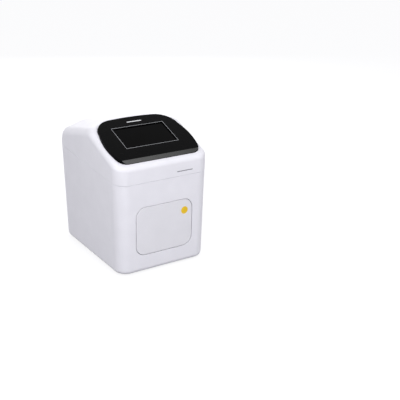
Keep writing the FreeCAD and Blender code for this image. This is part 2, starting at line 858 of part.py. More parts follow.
# ---------------------------------------------------------------- base, feet and rear panel

base_y = (front + S.base_margin, half_depth - S.base_margin)
base_plain = rounded_block("base_plain", both_ways(0.0, half_width - S.base_margin), base_y,
                           (floor_top, sheet_top), S.foot_radius, "z")
flange_screw_places = mirrored([(chassis_inside - S.chassis_flange / 2, y)
                                for y in (chassis_front + S.flange_screw_gap, chassis_back - S.flange_screw_gap)])
base_holes = group("base_holes", [rod(f"base_hole_{number}", clearance_hole, (x, y, 0.0), sheet_top + 1.0)
                                  for number, (x, y) in enumerate(flange_screw_places)])
node("base_plate", cut("base_plate_body", base_plain, floor_cuts("base"), base_holes))
feet = []
foot_screws = []
for number, (x, y) in enumerate(foot_places):
    pad_rod = rod(f"foot_pad_{number}", S.foot_radius, (x, y, 0.0), S.foot_height)
    recess = rod(f"foot_recess_{number}", S.screw_head_radius * 1.5, (x, y, -1.0), S.screw_head_height + 1.0)
    hole = rod(f"foot_hole_{number}", clearance_hole, (x, y, 0.0), S.foot_height * 2)
    feet.append(cut(f"foot_{number}", pad_rod, recess, hole))
    foot_screws.append(screw(f"foot_screw_{number}", (x, y, S.screw_head_height), length=S.foot_screw_length))
node("rubber_feet", group("rubber_feet_set", feet))
node("foot_screws", group("foot_screw_set", foot_screws))

fan_hole_places = [(fan_x + side * (S.fan_size / 2 - S.screw_head_radius * 1.5),
                    S.fan_z + rise * (S.fan_size / 2 - S.screw_head_radius * 1.5))
                   for side in (-1.0, 1.0) for rise in (-1.0, 1.0)]
port_places = {
    "lan": (port_x - 22.0, S.port_z, S.lan_width, S.lan_height),
    "usb_left": (port_x, S.port_z, S.usb_width, S.usb_height),
    "usb_right": (port_x + 20.0, S.port_z, S.usb_width, S.usb_height),
}
rear_windows = {
    "inlet": (inlet_x, S.inlet_z, S.inlet_width + S.rear_gap * 2, S.inlet_height + S.rear_gap * 2),
    "switch": (inlet_x, S.switch_z, S.switch_width + S.rear_gap * 2, S.switch_height + S.rear_gap * 2),
}
for name, (x, z, width, height) in port_places.items():
    rear_windows[name] = (x, z, width + S.rear_gap * 2, height + S.rear_gap * 2)
rear_body = new_body("rear_panel_body")
rear_sketch = new_sketch(rear_body, "rear_outline", "XZ_Plane", -panel_y)
draw_rectangle(rear_sketch, both_ways(0.0, rear_half_width - S.rear_gap),
               (S.rear_low + S.rear_gap, S.rear_high - S.rear_gap))
pad(rear_body, rear_sketch, S.rear_sheet, reverse=True)
port_sketch = new_sketch(rear_body, "rear_windows", "XZ_Plane", -panel_y)
for name, (x, z, width, height) in rear_windows.items():
    draw_rectangle(port_sketch, both_ways(x, width / 2), both_ways(z, height / 2), tag=f"{name}_")
pocket(rear_body, port_sketch, S.rear_sheet)
hole_sketch = new_sketch(rear_body, "rear_screw_holes", "XZ_Plane", -panel_y)
for number, (x, z) in enumerate(rear_screw_places + fan_hole_places):
    draw_circle(hole_sketch, x, z, clearance_hole, tag=f"hole_{number}_")
pocket(rear_body, hole_sketch, S.rear_sheet)
grille_sketch = new_sketch(rear_body, "rear_grille", "XZ_Plane", -panel_y)
for number in range(int(S.slot_count)):
    across = S.slot_pitch * (number - (float(S.slot_count) - 1) / 2)
    reach = math.sqrt(max(float(S.fan_bore) ** 2 - (abs(float(across)) + float(S.slot_width)) ** 2, 16.0))
    draw_rectangle(grille_sketch, both_ways(fan_x + across, S.slot_width / 2),
                   (S.fan_z - reach, S.fan_z + reach), tag=f"slot_{number}_")
pocket(rear_body, grille_sketch, S.rear_sheet)
node("rear_panel", rear_body)
node("rear_screws", group("rear_screw_set", [
    screw(f"rear_screw_{number}", (x, panel_y + S.rear_sheet, z), "y", forward=False)
    for number, (x, z) in enumerate(rear_screw_places + fan_hole_places)]))


# ---------------------------------------------------------------- display

glass_half = (S.window_width / 2 + S.glass_margin, S.window_height / 2 + S.glass_margin)
panel_half = (S.window_width / 2 + S.panel_margin, S.window_height / 2 + S.panel_margin)
window_v = S.window_height / 2
glass_low = -S.bezel_skin - S.glass_thickness
panel_low = glass_low - S.panel_thickness
bracket_low = panel_low - S.bracket_sheet
spacer_low = bracket_low - S.board_spacer
chamfer_normal = DISPLAY[0].Rotation.multVec(Vector(0, -1, 1).normalize())
chamfer_point = DISPLAY[0].multVec(Vector(0, -float(S.bezel_front - S.bezel_chamfer), 0))
bezel_stock = cut("bezel_stock", bezel_prism("bezel_solid", 0.0, -40.0, 0.0),
                  below_slope("bezel_seat", S.bezel_recess),
                  half_space("bezel_chamfer", chamfer_point, chamfer_normal, 0.0))
bezel_cavity = cut("bezel_cavity", bezel_prism("cavity_prism", -S.bezel_skin, -60.0, -S.bezel_skin),
                   half_space("cavity_chamfer", chamfer_point, chamfer_normal, float(S.bezel_skin)))
window_hole = lay(group("window_hole", [rounded_block(
    "window_cut", both_ways(0.0, S.window_width / 2), (0.0, S.window_height), (-S.bezel_skin * 2, 5.0),
    S.window_radius, "z")]), *DISPLAY)
bracket_places = mirrored([(bracket_half_width - 5.0, window_v - panel_half[1] - 18.0),
                           (bracket_half_width - 5.0, window_v + panel_half[1] + 3.0)])
bracket_bosses = lay(group("bracket_bosses", [
    rod(f"bracket_boss_{number}", S.bracket_boss_radius, (x, y, panel_low), S.bezel_skin / 2 - panel_low - S.bezel_skin)
    for number, (x, y) in enumerate(bracket_places)]), *DISPLAY)
bezel_bosses = lay(group("bezel_bosses", [
    rod(f"bezel_boss_{number}", S.screw_head_radius, (x, y, -S.bezel_recess), S.bezel_recess + 3.5)
    for number, (x, y) in enumerate(bezel_screw_places)]), *SLOPE)
bezel_bores = lay(group("bezel_bores", [
    rod(f"bezel_bore_{number}", S.screw_shank_radius + S.shaft_clearance, (x, y, -ledge_depth), ledge_depth + 2.5)
    for number, (x, y) in enumerate(bezel_screw_places)]), *SLOPE)
bracket_bores = lay(group("bracket_bores", [
    rod(f"bracket_bore_{number}", S.screw_shank_radius + S.shaft_clearance, (x, y, panel_low - 1.0), 6.0)
    for number, (x, y) in enumerate(bracket_places)]), *DISPLAY)
node("display_bezel", cut("bezel_body", join("bezel_bossed", cut("bezel_shell", bezel_stock, bezel_cavity, window_hole),
                                             bracket_bosses, bezel_bosses), bezel_bores, bracket_bores))
node("touch_glass", lay(group("touch_glass_body", [block(
    "glass_sheet", both_ways(0.0, glass_half[0]), both_ways(window_v, glass_half[1]),
    (glass_low, -S.bezel_skin))]), *DISPLAY))
node("lcd_module", lay(group("lcd_module_body", [block(
    "lcd_case", both_ways(0.0, panel_half[0]), both_ways(window_v, panel_half[1]),
    (panel_low, glass_low))]), *DISPLAY))
bracket_plate = block("bracket_plate", both_ways(0.0, bracket_half_width),
                      (window_v - panel_half[1] - 24.0, window_v + panel_half[1] + 8.0), (bracket_low, panel_low))
spacer_places = mirrored([(S.window_width / 2 - 20.0, window_v - 34.0), (S.window_width / 2 - 20.0, window_v + 34.0)])
spacers = group("display_spacers", [
    rod(f"display_spacer_{number}", S.standoff_radius, (x, y, spacer_low), S.board_spacer + S.bracket_sheet / 2)
    for number, (x, y) in enumerate(spacer_places)])
bracket_holes = group("bracket_holes", [
    rod(f"bracket_hole_{number}", clearance_hole, (x, y, bracket_low - 1.0), S.bracket_sheet + 2.0)
    for number, (x, y) in enumerate(bracket_places)])
bracket_window = block("bracket_window", both_ways(0.0, S.window_width / 2 - 32.0), both_ways(window_v, 26.0),
                       (bracket_low - 1.0, panel_low + 1.0))
node("display_bracket", lay(cut("bracket_body", join("bracket_spaced", bracket_plate, spacers),
                                bracket_holes, bracket_window), *DISPLAY))
display_chip = block("display_chip", both_ways(0.0, 14.0), both_ways(window_v, 14.0),
                     (spacer_low - S.board_thickness - 3.0, spacer_low - S.board_thickness))
node("display_board", lay(join("display_board_body", block(
    "display_card", both_ways(0.0, S.window_width / 2 - 14.0), both_ways(window_v, S.window_height / 2 - 4.0),
    (spacer_low - S.board_thickness, spacer_low)), display_chip), *DISPLAY))


# ---------------------------------------------------------------- sheet-metal chassis

chassis_y = (chassis_front, chassis_back)
flange_inner = chassis_inside - S.chassis_flange
side_screw_tools = []
for number, (x, y) in enumerate(flange_screw_places):
    side_screw_tools.append((x, rod(f"side_low_hole_{number}", clearance_hole, (x, y, sheet_top - 1.0),
                                    S.side_sheet + 2.0)))
    side_screw_tools.append((x, rod(f"side_high_hole_{number}", clearance_hole, (x, y, deck_low - S.side_sheet - 1.0),
                                    S.side_sheet + 2.0)))


def chassis_side(name, side):
    """One upright side with its bottom and top flanges turned inward."""
    def across(near, far):
        return (near, far) if side > 0 else (-far, -near)
    wall = block(f"{name}_wall", across(chassis_inside, chassis_half_width), chassis_y, (sheet_top, deck_low))
    low = block(f"{name}_low", across(flange_inner, chassis_half_width), chassis_y,
                (sheet_top, sheet_top + S.side_sheet))
    high = block(f"{name}_high", across(flange_inner, chassis_half_width), chassis_y,
                 (deck_low - S.side_sheet, deck_low))
    holes = group(f"{name}_holes", [tool for x, tool in side_screw_tools if float(x) * side > 0])
    return cut(f"{name}_drilled", join(f"{name}_bent", wall, low, high), holes)


motor_z = S.belt_centre_z
drive_y = chassis_back - S.drive_pulley_gap
idler_y = chassis_front + S.idler_pulley_gap
clamp_middle = (block_y + S.surround_half_depth + drive_y - S.pulley_flange) / 2 + S.clamp_offset
tray_length = clamp_middle + S.clamp_gap - tray_front
axle_bore = S.shaft_radius + S.shaft_clearance
motor_hole = rod("motor_hole", S.pulley_flange + 2.5, (-chassis_half_width - 1.0, drive_y, motor_z),
                 S.side_sheet + 2.0, "x")
axle_hole = rod("axle_hole", axle_bore, (-chassis_half_width - 1.0, idler_y, motor_z), S.side_sheet + 2.0, "x")
node("chassis_left", cut("chassis_left_body", chassis_side("left", -1), motor_hole, axle_hole))
node("chassis_right", chassis_side("right", 1))

rear_plate = new_body("chassis_rear_body")
rear_plate_sketch = new_sketch(rear_plate, "chassis_rear_outline", "XZ_Plane", -chassis_back)
draw_rectangle(rear_plate_sketch, both_ways(0.0, chassis_half_width), (sheet_top, deck_low))
pad(rear_plate, rear_plate_sketch, S.side_sheet, reverse=True)
rear_air_sketch = new_sketch(rear_plate, "chassis_rear_windows", "XZ_Plane", -chassis_back)
draw_rectangle(rear_air_sketch, both_ways(fan_x, S.fan_size / 2), both_ways(S.fan_z, S.fan_size / 2), tag="fan_")
draw_rectangle(rear_air_sketch, both_ways(inlet_x, S.inlet_width / 2), (S.inlet_z - 20.0, S.switch_z + 20.0),
               tag="inlet_")
pocket(rear_plate, rear_air_sketch, S.side_sheet)
node("chassis_rear", rear_plate)

deck = new_body("chassis_deck_body")
deck_sketch = new_sketch(deck, "deck_outline", "XY_Plane", deck_low)
draw_rectangle(deck_sketch, both_ways(0.0, chassis_half_width), (chassis_front, chassis_back + S.side_sheet))
pad(deck, deck_sketch, S.side_sheet)
ear_sketch = new_sketch(deck, "deck_ears", "XY_Plane", deck_low)
for tag, y in zip(("front_", "back_"), ear_ys):
    draw_rectangle(ear_sketch, both_ways(0.0, chassis_half_width + S.ear_reach), both_ways(y, 8.0), tag=tag)
pad(deck, ear_sketch, S.side_sheet)
deck_hole_sketch = new_sketch(deck, "deck_holes", "XY_Plane", deck_top)
draw_rectangle(deck_hole_sketch, both_ways(0.0, S.aperture / 2), both_ways(block_y, S.aperture / 2), tag="aperture_")
for number, (x, y) in enumerate(ear_places + flange_screw_places):
    draw_circle(deck_hole_sketch, x, y, clearance_hole, tag=f"hole_{number}_")
pocket(deck, deck_hole_sketch, S.side_sheet)
node("chassis_deck", deck)

inner_screws = []
for number, (x, y) in enumerate(flange_screw_places):
    inner_screws.append(screw(f"flange_screw_{number}", (x, y, sheet_top + S.side_sheet), forward=False,
                              length=S.side_sheet + S.base_sheet - 0.5))
    inner_screws.append(screw(f"deck_screw_{number}", (x, y, deck_top), forward=False))
for number, (x, y) in enumerate(ear_places):
    inner_screws.append(screw(f"ear_screw_{number}", (x, y, deck_low)))
for number, (x, y) in enumerate(bezel_screw_places):
    inner_screws.append(lay(screw(f"bezel_screw_{number}", (x, y, -ledge_depth), length=S.screw_length), *SLOPE))
for number, (x, y) in enumerate(bracket_places):
    inner_screws.append(lay(screw(f"bracket_screw_{number}", (x, y, bracket_low), length=S.screw_length / 2),
                            *DISPLAY))
node("inner_screws", group("inner_screw_set", inner_screws))


# ---------------------------------------------------------------- sample drawer

tray_bottom_plate = S.tray_top - S.tray_sheet
runner_top = S.runner_base + S.runner_height
runner_out = tray_half_width + S.runner_thickness
rail_in = runner_out - S.runner_engagement
rail_low = S.runner_base + S.runner_height / 2 - S.rail_height / 2
rails = []
runners = []
for side, tag in ((-1, "left"), (1, "right")):
    def across(near, far):
        return (near, far) if side > 0 else (-far, -near)
    rail_y = (chassis_front, chassis_back - S.rail_back_gap)
    rail_bar = block(f"rail_bar_{tag}", across(rail_in, chassis_inside), rail_y, (rail_low, rail_low + S.rail_height))
    groove = block(f"rail_groove_{tag}", across(rail_in - 1.0, runner_out + S.running_gap),
                   (chassis_front - 1.0, chassis_back),
                   (S.runner_base - S.running_gap, runner_top + S.running_gap))
    rails.append(cut(f"rail_{tag}", rail_bar, groove))
    runners.append(block(f"runner_{tag}", across(tray_half_width, runner_out),
                         (tray_front + S.running_gap * 10, tray_front + tray_length),
                         (S.runner_base, runner_top)))
node("guide_rails", group("guide_rail_pair", rails))
node("drawer_runners", group("drawer_runner_pair", runners))

front_back = front + S.drawer_front_back
door_stock = rounded_block("door_stock", both_ways(0.0, S.opening_width / 2 - S.drawer_gap),
                           (front - 20.0, front_back), (S.opening_base + S.drawer_gap, opening_top - S.drawer_gap),
                           S.opening_radius - S.drawer_gap, "y")
door_plain = common("door_plain", door_stock, lower_outer)


def on_front_face(edge):
    """Picks the rim of the outer face of the drawer front."""
    return edge.BoundBox.YMin < float(front_back) - 0.5 and edge.BoundBox.YMax < float(front_back) - 0.5


node("drawer_front", rounded("door_body", door_plain, 1.5, on_front_face))
bracket_back = block("bracket_back", both_ways(0.0, tray_half_width - 8.0), (front_back, tray_front),
                     (S.tray_top - 36.0, S.tray_top + 26.0))
bracket_foot = block("bracket_foot", both_ways(0.0, tray_half_width - 14.0), (front_back, tray_front + 20.0),
                     (tray_bottom_plate - S.tray_sheet, tray_bottom_plate))
node("drawer_bracket", join("drawer_bracket_body", bracket_back, bracket_foot))

tray_y = (tray_front, tray_front + tray_length)
tray_plate = block("tray_plate", both_ways(0.0, tray_half_width), tray_y, (tray_bottom_plate, S.tray_top))
tray_window = block("tray_window", both_ways(0.0, sink_half_width - S.sink_window_margin),
                    both_ways(block_y, S.sink_depth / 2 - S.sink_window_margin),
                    (tray_bottom_plate - 1.0, S.tray_top + 1.0))
tray_low = tray_bottom_plate - S.tray_skirt
tray_skirts = [block(f"tray_skirt_{number}", span, tray_y, (tray_low, S.tray_top)) for number, span in enumerate(
    ((-tray_half_width, S.tray_sheet - tray_half_width), (tray_half_width - S.tray_sheet, tray_half_width)))]
node("drawer_tray", join("drawer_tray_body", cut("tray_top_plate", tray_plate, tray_window), *tray_skirts))

sink_plate = block("sink_plate", both_ways(0.0, sink_half_width), both_ways(block_y, S.sink_depth / 2),
                   (S.tray_top, sink_top))
fin_half = S.sink_depth / 2 - S.sink_window_margin - 1.0
fins = [block(f"fin_{number}", both_ways(S.fin_pitch * (number - (fin_count - 1) / 2), S.fin_thickness / 2),
              both_ways(block_y, fin_half), (S.tray_top - S.fin_height, S.tray_top + 1.0))
        for number in range(fin_count)]
node("heat_sink", join("heat_sink_body", sink_plate, *fins))
peltier_step = (S.peltier_size + S.peltier_gap) / 2
node("peltier_modules", group("peltier_set", [
    block(f"peltier_{column}_{row}", both_ways(column * peltier_step, S.peltier_size / 2),
          both_ways(block_y + row * peltier_step, S.peltier_size / 2), (sink_top, block_low))
    for column in (-1.0, 1.0) for row in (-1.0, 1.0)]))

well_places = [(S.well_pitch * (column - (float(S.well_columns) - 1) / 2),
                block_y + S.well_pitch * (row - (float(S.well_rows) - 1) / 2))
               for column in range(int(S.well_columns)) for row in range(int(S.well_rows))]
block_stock = block("block_stock", both_ways(0.0, block_half_x), both_ways(block_y, block_half_y),
                    (block_low, block_top))
wells = group("wells", [cone(f"well_{number}", S.well_tip_radius, S.well_top_radius,
                             (x, y, block_top - S.well_depth), S.well_depth)
                        for number, (x, y) in enumerate(well_places)])
node("sample_block", cut("sample_block_body", block_stock, wells))

surround_x, surround_y = surround_half_width, S.surround_half_depth
inner_x, inner_y = surround_x - S.surround_wall, surround_y - S.surround_wall
surround_roof = surround_top - S.surround_wall
surround_shell = cut(
    "surround_shell",
    rounded_block("surround_stock", both_ways(0.0, surround_x), both_ways(block_y, surround_y),
                  (S.tray_top, surround_top), S.surround_wall * 2, "z"),
    block("surround_cavity", both_ways(0.0, inner_x), both_ways(block_y, inner_y), (S.tray_top - 1.0, surround_roof)),
    block("surround_mouth", both_ways(0.0, block_half_x + S.block_clearance),
          both_ways(block_y, block_half_y + S.block_clearance), (surround_roof - 1.0, surround_top + 1.0)))
node("block_surround", surround_shell)
seal_span = (surround_roof - S.seal_thickness, surround_roof)
seal_gap = S.block_clearance / 2
node("block_seal", cut(
    "block_seal_body",
    block("seal_outer", both_ways(0.0, block_half_x + S.seal_width), both_ways(block_y, block_half_y + S.seal_width),
          seal_span),
    block("seal_inner", both_ways(0.0, block_half_x + seal_gap), both_ways(block_y, block_half_y + seal_gap),
          (surround_roof - S.seal_thickness * 2, surround_top))))


# ---------------------------------------------------------------- drawer drive

belt_inner = S.pulley_radius + S.belt_gap
belt_outer = belt_inner + S.belt_thickness
belt_low = motor_z - belt_outer
belt_span = both_ways(belt_x, S.belt_width / 2)
cheek_in = S.belt_width / 2 + 0.3


def belt_loop(name, radius, width):
    """The run of a belt round both pulleys, as a solid block with round ends."""
    x = belt_x - width / 2
    ends = [rod(f"{name}_{tag}", radius, (x, y, motor_z), width, "x")
            for tag, y in (("back", drive_y), ("front", idler_y))]
    middle = block(f"{name}_middle", (x, x + width), (idler_y, drive_y), both_ways(motor_z, radius))
    return join(name, middle, *ends)


def toothless_pulley(name, y):
    """A flat belt pulley with two cheeks and a running bore."""
    start = belt_x - cheek_in - 1.2
    hub = rod(f"{name}_hub", S.pulley_radius, (start, y, motor_z), cheek_in * 2 + 2.4, "x")
    cheeks = [rod(f"{name}_cheek_{number}", S.pulley_flange, (x, y, motor_z), 1.2, "x")
              for number, x in enumerate((start, belt_x + cheek_in))]
    bore = rod(f"{name}_bore", axle_bore, (start - 1.0, y, motor_z), cheek_in * 2 + 4.4, "x")
    return cut(f"{name}_body", join(f"{name}_solid", hub, *cheeks), bore)


node("drive_belt", cut("drive_belt_body", belt_loop("belt_outside", belt_outer, S.belt_width),
                       belt_loop("belt_inside", belt_inner, S.belt_width + 2.0)))
node("drive_pulley", toothless_pulley("drive_pulley", drive_y))
node("idler_pulley", toothless_pulley("idler_pulley", idler_y))
axle_head = rod("axle_head", S.shaft_radius * 2, (-chassis_half_width - S.side_sheet, idler_y, motor_z),
                S.side_sheet, "x")
axle_reach = belt_x + cheek_in + 2.0 + chassis_half_width
node("idler_axle", join("idler_axle_body", axle_head, rod(
    "axle_rod", S.shaft_radius, (-chassis_half_width, idler_y, motor_z), axle_reach, "x")))
motor_face = -chassis_half_width
motor_stock = rounded_block("motor_stock", (motor_face - S.motor_length, motor_face),
                            both_ways(drive_y, S.motor_size / 2), both_ways(motor_z, S.motor_size / 2), 4.0, "x")
motor_bore = rod("motor_bore", axle_bore, (motor_face - 14.0, drive_y, motor_z), 16.0, "x")
node("drive_motor", cut("drive_motor_body", motor_stock, motor_bore))
shaft_reach = belt_x + cheek_in + 2.0 - motor_face + 12.0
node("motor_shaft", rod("motor_shaft_body", S.shaft_radius, (motor_face - 12.0, drive_y, motor_z), shaft_reach, "x"))

clamp_y = both_ways(clamp_middle, S.clamp_length / 2)
clamp_left = belt_span[0] - 2.0
clamp_foot = block("clamp_foot", (clamp_left, -tray_half_width + 12.0), clamp_y, (S.tray_top, S.tray_top + 3.0))
clamp_jaw = block("clamp_jaw", (clamp_left, belt_span[1] + 2.5), clamp_y,
                  (S.tray_top, belt_low + S.belt_thickness + 3.0))
clamp_slot = block("clamp_slot", (clamp_left - 1.0, belt_span[1] + S.belt_gap), both_ways(clamp_middle, S.clamp_length),
                   (belt_low - S.belt_gap, belt_low + S.belt_thickness + S.belt_gap))
node("belt_clamp", cut("belt_clamp_body", join("clamp_solid", clamp_foot, clamp_jaw), clamp_slot))


# ---------------------------------------------------------------- heated lid

lid_plate = new_body("lid_plate_body")
lid_sketch = new_sketch(lid_plate, "lid_outline", "XY_Plane", lid_low)
lid_half = (block_half_x + 2.0, block_half_y + 2.0)
draw_rectangle(lid_sketch, both_ways(0.0, lid_half[0]), both_ways(block_y, lid_half[1]), radius=3.0)
pad(lid_plate, lid_sketch, S.lid_plate_height)
sight_sketch = new_sketch(lid_plate, "lid_sights", "XY_Plane", heater_low)
for number, (x, y) in enumerate(well_places):
    draw_circle(sight_sketch, x, y, S.lid_sight_radius, tag=f"sight_{number}_")
pocket(lid_plate, sight_sketch, S.lid_plate_height)
node("lid_plate", lid_plate)

window_x, window_y = block_half_x - 4.0, block_half_y - 4.0
node("lid_heater", cut(
    "lid_heater_body",
    block("heater_sheet", both_ways(0.0, lid_half[0] - 1.0), both_ways(block_y, lid_half[1] - 1.0),
          (heater_low, carrier_low)),
    block("heater_window", both_ways(0.0, window_x - 1.0), both_ways(block_y, window_y - 1.0),
          (heater_low - 1.0, carrier_low + 1.0))))

post_places = mirrored([(S.post_offset, block_y)])
carrier = new_body("lid_carrier_body")
carrier_sketch = new_sketch(carrier, "carrier_outline", "XY_Plane", carrier_low)
draw_rectangle(carrier_sketch, both_ways(0.0, S.lid_frame_half_width),
               (block_y - S.lid_frame_front, block_y + S.lid_frame_back), radius=6.0)
pad(carrier, carrier_sketch, S.lid_frame_height)
carrier_holes = new_sketch(carrier, "carrier_holes", "XY_Plane", carrier_top)
draw_rectangle(carrier_holes, both_ways(0.0, window_x), both_ways(block_y, window_y), tag="window_")
for number, (x, y) in enumerate(post_places):
    draw_circle(carrier_holes, x, y, S.post_radius + S.shaft_clearance, tag=f"post_{number}_")
draw_circle(carrier_holes, 0.0, screw_y, S.nut_radius + S.shaft_clearance, tag="nut_")
pocket(carrier, carrier_holes, S.lid_frame_height)
node("lid_carrier", carrier)
node("guide_posts", group("guide_post_pair", [
    rod(f"guide_post_{number}", S.post_radius, (x, y, post_low), S.post_length)
    for number, (x, y) in enumerate(post_places)]))
nut_bore = rod("nut_bore", S.screw_radius + S.shaft_clearance, (0.0, screw_y, carrier_low - 1.0),
               S.lid_frame_height + 5.0)
nut_barrel = rod("nut_barrel", S.nut_radius, (0.0, screw_y, carrier_low), S.lid_frame_height + 1.0)
nut_flange = rod("nut_flange", S.nut_radius + 3.0, (0.0, screw_y, carrier_top), 2.5)
node("lid_nut", cut("lid_nut_body", join("lid_nut_solid", nut_barrel, nut_flange), nut_bore))
lid_motor_low = deck_low - S.lid_motor_height
screw_low = carrier_low - 14.0
node("lid_screw", rod("lid_screw_body", S.screw_radius, (0.0, screw_y, screw_low), lid_motor_low + 10.0 - screw_low))
node("lid_motor", cut(
    "lid_motor_body",
    rounded_block("lid_motor_stock", both_ways(0.0, S.lid_motor_size / 2), both_ways(screw_y, S.lid_motor_size / 2),
                  (lid_motor_low, deck_low), 3.0, "z"),
    rod("lid_motor_bore", S.screw_radius + S.shaft_clearance, (0.0, screw_y, lid_motor_low - 1.0), 13.0)))


# ---------------------------------------------------------------- optics

def tapered(name, low_x, low_y, high_x, high_y, z, height):
    """A four-sided taper about the sample block's middle, standing up from a height."""
    wedge = DOC.addObject("Part::Wedge", name)
    for prop, value in (("Xmin", -low_x), ("Xmax", low_x), ("Zmin", -low_y), ("Zmax", low_y),
                        ("X2min", -high_x), ("X2max", high_x), ("Z2min", -high_y), ("Z2max", high_y),
                        ("Ymin", 0.0), ("Ymax", height)):
        bind(wedge, prop, value)
    return place(wedge, 0.0, block_y, z, turn=Rotation(Vector(1, 0, 0), 90))


hood_low = deck_low - S.hood_height
hood_low_half = (block_half_x, block_half_y)
hood_high_half = (block_half_x - 10.0, block_half_y - 5.0)
hood_wall = S.hood_wall
hood_skin = cut(
    "hood_skin",
    join("hood_flanged",
         tapered("hood_outside", *hood_low_half, *hood_high_half, hood_low, S.hood_height),
         block("hood_flange", both_ways(0.0, hood_high_half[0] + S.seal_width),
               both_ways(block_y, hood_high_half[1] + S.seal_width), (deck_low - hood_wall, deck_low))),
    tapered("hood_inside", hood_low_half[0] - hood_wall, hood_low_half[1] - hood_wall,
            hood_high_half[0] - hood_wall, hood_high_half[1] - hood_wall, hood_low, S.hood_height))
node("optics_hood", hood_skin)
leds = []
for side, tag in ((-1.0, "left"), (1.0, "right")):
    x = side * (S.aperture / 2 + 7.0)
    card = block(f"led_card_{tag}", both_ways(x, 4.5), both_ways(block_y, 15.0),
                 (deck_low - S.board_thickness, deck_low))
    domes = [rod(f"led_{tag}_{number}", 2.0, (x, block_y + step, deck_low - S.board_thickness - 2.0), 2.5)
             for number, step in enumerate((-9.0, 0.0, 9.0))]
    leds.append(join(f"led_board_{tag}", card, *domes))
node("led_boards", group("led_board_pair", leds))

box_half = S.camera_box_width / 2
box_top = deck_top + S.camera_box_height
box_wall = S.camera_box_wall
filter_top = deck_top + S.filter_thickness
lens_top = filter_top + S.lens_length
card_top = lens_top + S.board_thickness
camera_shell = cut(
    "camera_shell",
    rounded_block("camera_box", both_ways(0.0, box_half), both_ways(block_y, box_half), (deck_top, box_top),
                  box_wall * 1.5, "z"),
    block("camera_cavity", both_ways(0.0, box_half - box_wall), both_ways(block_y, box_half - box_wall),
          (deck_top - 1.0, box_top - box_wall)))
camera_ribs = [block(f"camera_rib_{number}", span, both_ways(block_y, 12.0), (card_top, box_top - box_wall / 2))
               for number, span in enumerate(((-box_half + box_wall / 2, -box_half + box_wall + 7.0),
                                              (box_half - box_wall - 7.0, box_half - box_wall / 2)))]
node("optics_housing", join("optics_housing_body", camera_shell, *camera_ribs))
filter_sheet = block("filter_sheet", both_ways(0.0, S.filter_size / 2), both_ways(block_y, S.filter_size / 2),
                     (deck_top, filter_top))
node("emission_filter", filter_sheet)
node("camera_lens", join(
    "camera_lens_body", rod("lens_barrel", S.lens_radius, (0.0, block_y, filter_top), S.lens_length - 6.0),
    rod("lens_mount", S.lens_radius - 3.0, (0.0, block_y, filter_top + 2.0), S.lens_length - 2.0)))
camera_card = block("camera_card", both_ways(0.0, box_half - box_wall - S.running_gap), both_ways(block_y, 20.0),
                    (lens_top, card_top))
camera_chip = block("camera_chip", both_ways(0.0, 8.0), both_ways(block_y, 8.0), (card_top - 0.5, card_top + 4.0))
node("camera_board", join("camera_board_body", camera_card, camera_chip))


# ---------------------------------------------------------------- rear fittings

panel_out = panel_y + S.rear_sheet
flange_out = panel_out + S.fitting_flange


def fitting_shell(name, x, z, width, height, margin, depth):
    """A snap-in body through the rear panel with a flange outside it."""
    body = block(f"{name}_case", both_ways(x, width / 2), (panel_out - depth, panel_out + 1.0), both_ways(z, height / 2))
    flange = block(f"{name}_flange", both_ways(x, width / 2 + margin), (panel_out, flange_out),
                   both_ways(z, height / 2 + margin / 2))
    return join(f"{name}_shell", body, flange)


socket = block("inlet_socket", both_ways(inlet_x, S.inlet_width / 2 - 1.5),
               (panel_out - S.inlet_depth + 5.0, flange_out + 1.0), both_ways(S.inlet_z, S.inlet_height / 2 - 1.8))
blades = [block(f"inlet_blade_{number}", both_ways(inlet_x + x, 1.0),
                (panel_out - S.inlet_depth + 3.0, panel_out - 2.0), both_ways(S.inlet_z + z, 2.0))
          for number, (x, z) in enumerate(((-7.0, -2.0), (0.0, 2.0), (7.0, -2.0)))]
node("iec_inlet", join("iec_inlet_body", cut(
    "inlet_hollow", fitting_shell("inlet", inlet_x, S.inlet_z, S.inlet_width, S.inlet_height,
                                  S.inlet_flange, S.inlet_depth), socket), *blades))

rocker_y = panel_out - 3.0
switch_inner = (S.switch_width / 2 - S.switch_wall, S.switch_height / 2 - S.switch_wall)
switch_cavity = block("switch_cavity", both_ways(inlet_x, switch_inner[0]),
                      (panel_out - S.inlet_depth + 6.0, flange_out + 1.0), both_ways(S.switch_z, switch_inner[1]))
rocker_axle = rod("rocker_axle", S.rocker_pin, (inlet_x - switch_inner[0] - 0.5, rocker_y, S.switch_z),
                  switch_inner[0] * 2 + 1.0, "x")
node("switch_housing", join("switch_housing_body", cut(
    "switch_hollow", fitting_shell("switch", inlet_x, S.switch_z, S.switch_width, S.switch_height,
                                   S.fitting_flange * 2, S.inlet_depth), switch_cavity), rocker_axle))
rocker_half = (switch_inner[0] - S.running_gap, switch_inner[1] - S.running_gap - 0.7)
rocker_paddle = block("rocker_paddle", both_ways(0.0, rocker_half[0]), (-3.5, 6.0), both_ways(0.0, rocker_half[1]))
rocker_scoop = rod("rocker_scoop", 40.0, (-20.0, 44.8, 0.0), 40.0, "x")
rocker_bore = rod("rocker_bore", S.rocker_pin + S.shaft_clearance, (-20.0, 0.0, 0.0), 40.0, "x")
rocker = cut("rocker_body", rocker_paddle, rocker_scoop, rocker_bore)
rocker.Placement = Placement(Vector(float(inlet_x), float(rocker_y), float(S.switch_z)),
                             Rotation(Vector(1, 0, 0), -float(S.rocker_tilt)))
node("power_rocker", rocker)

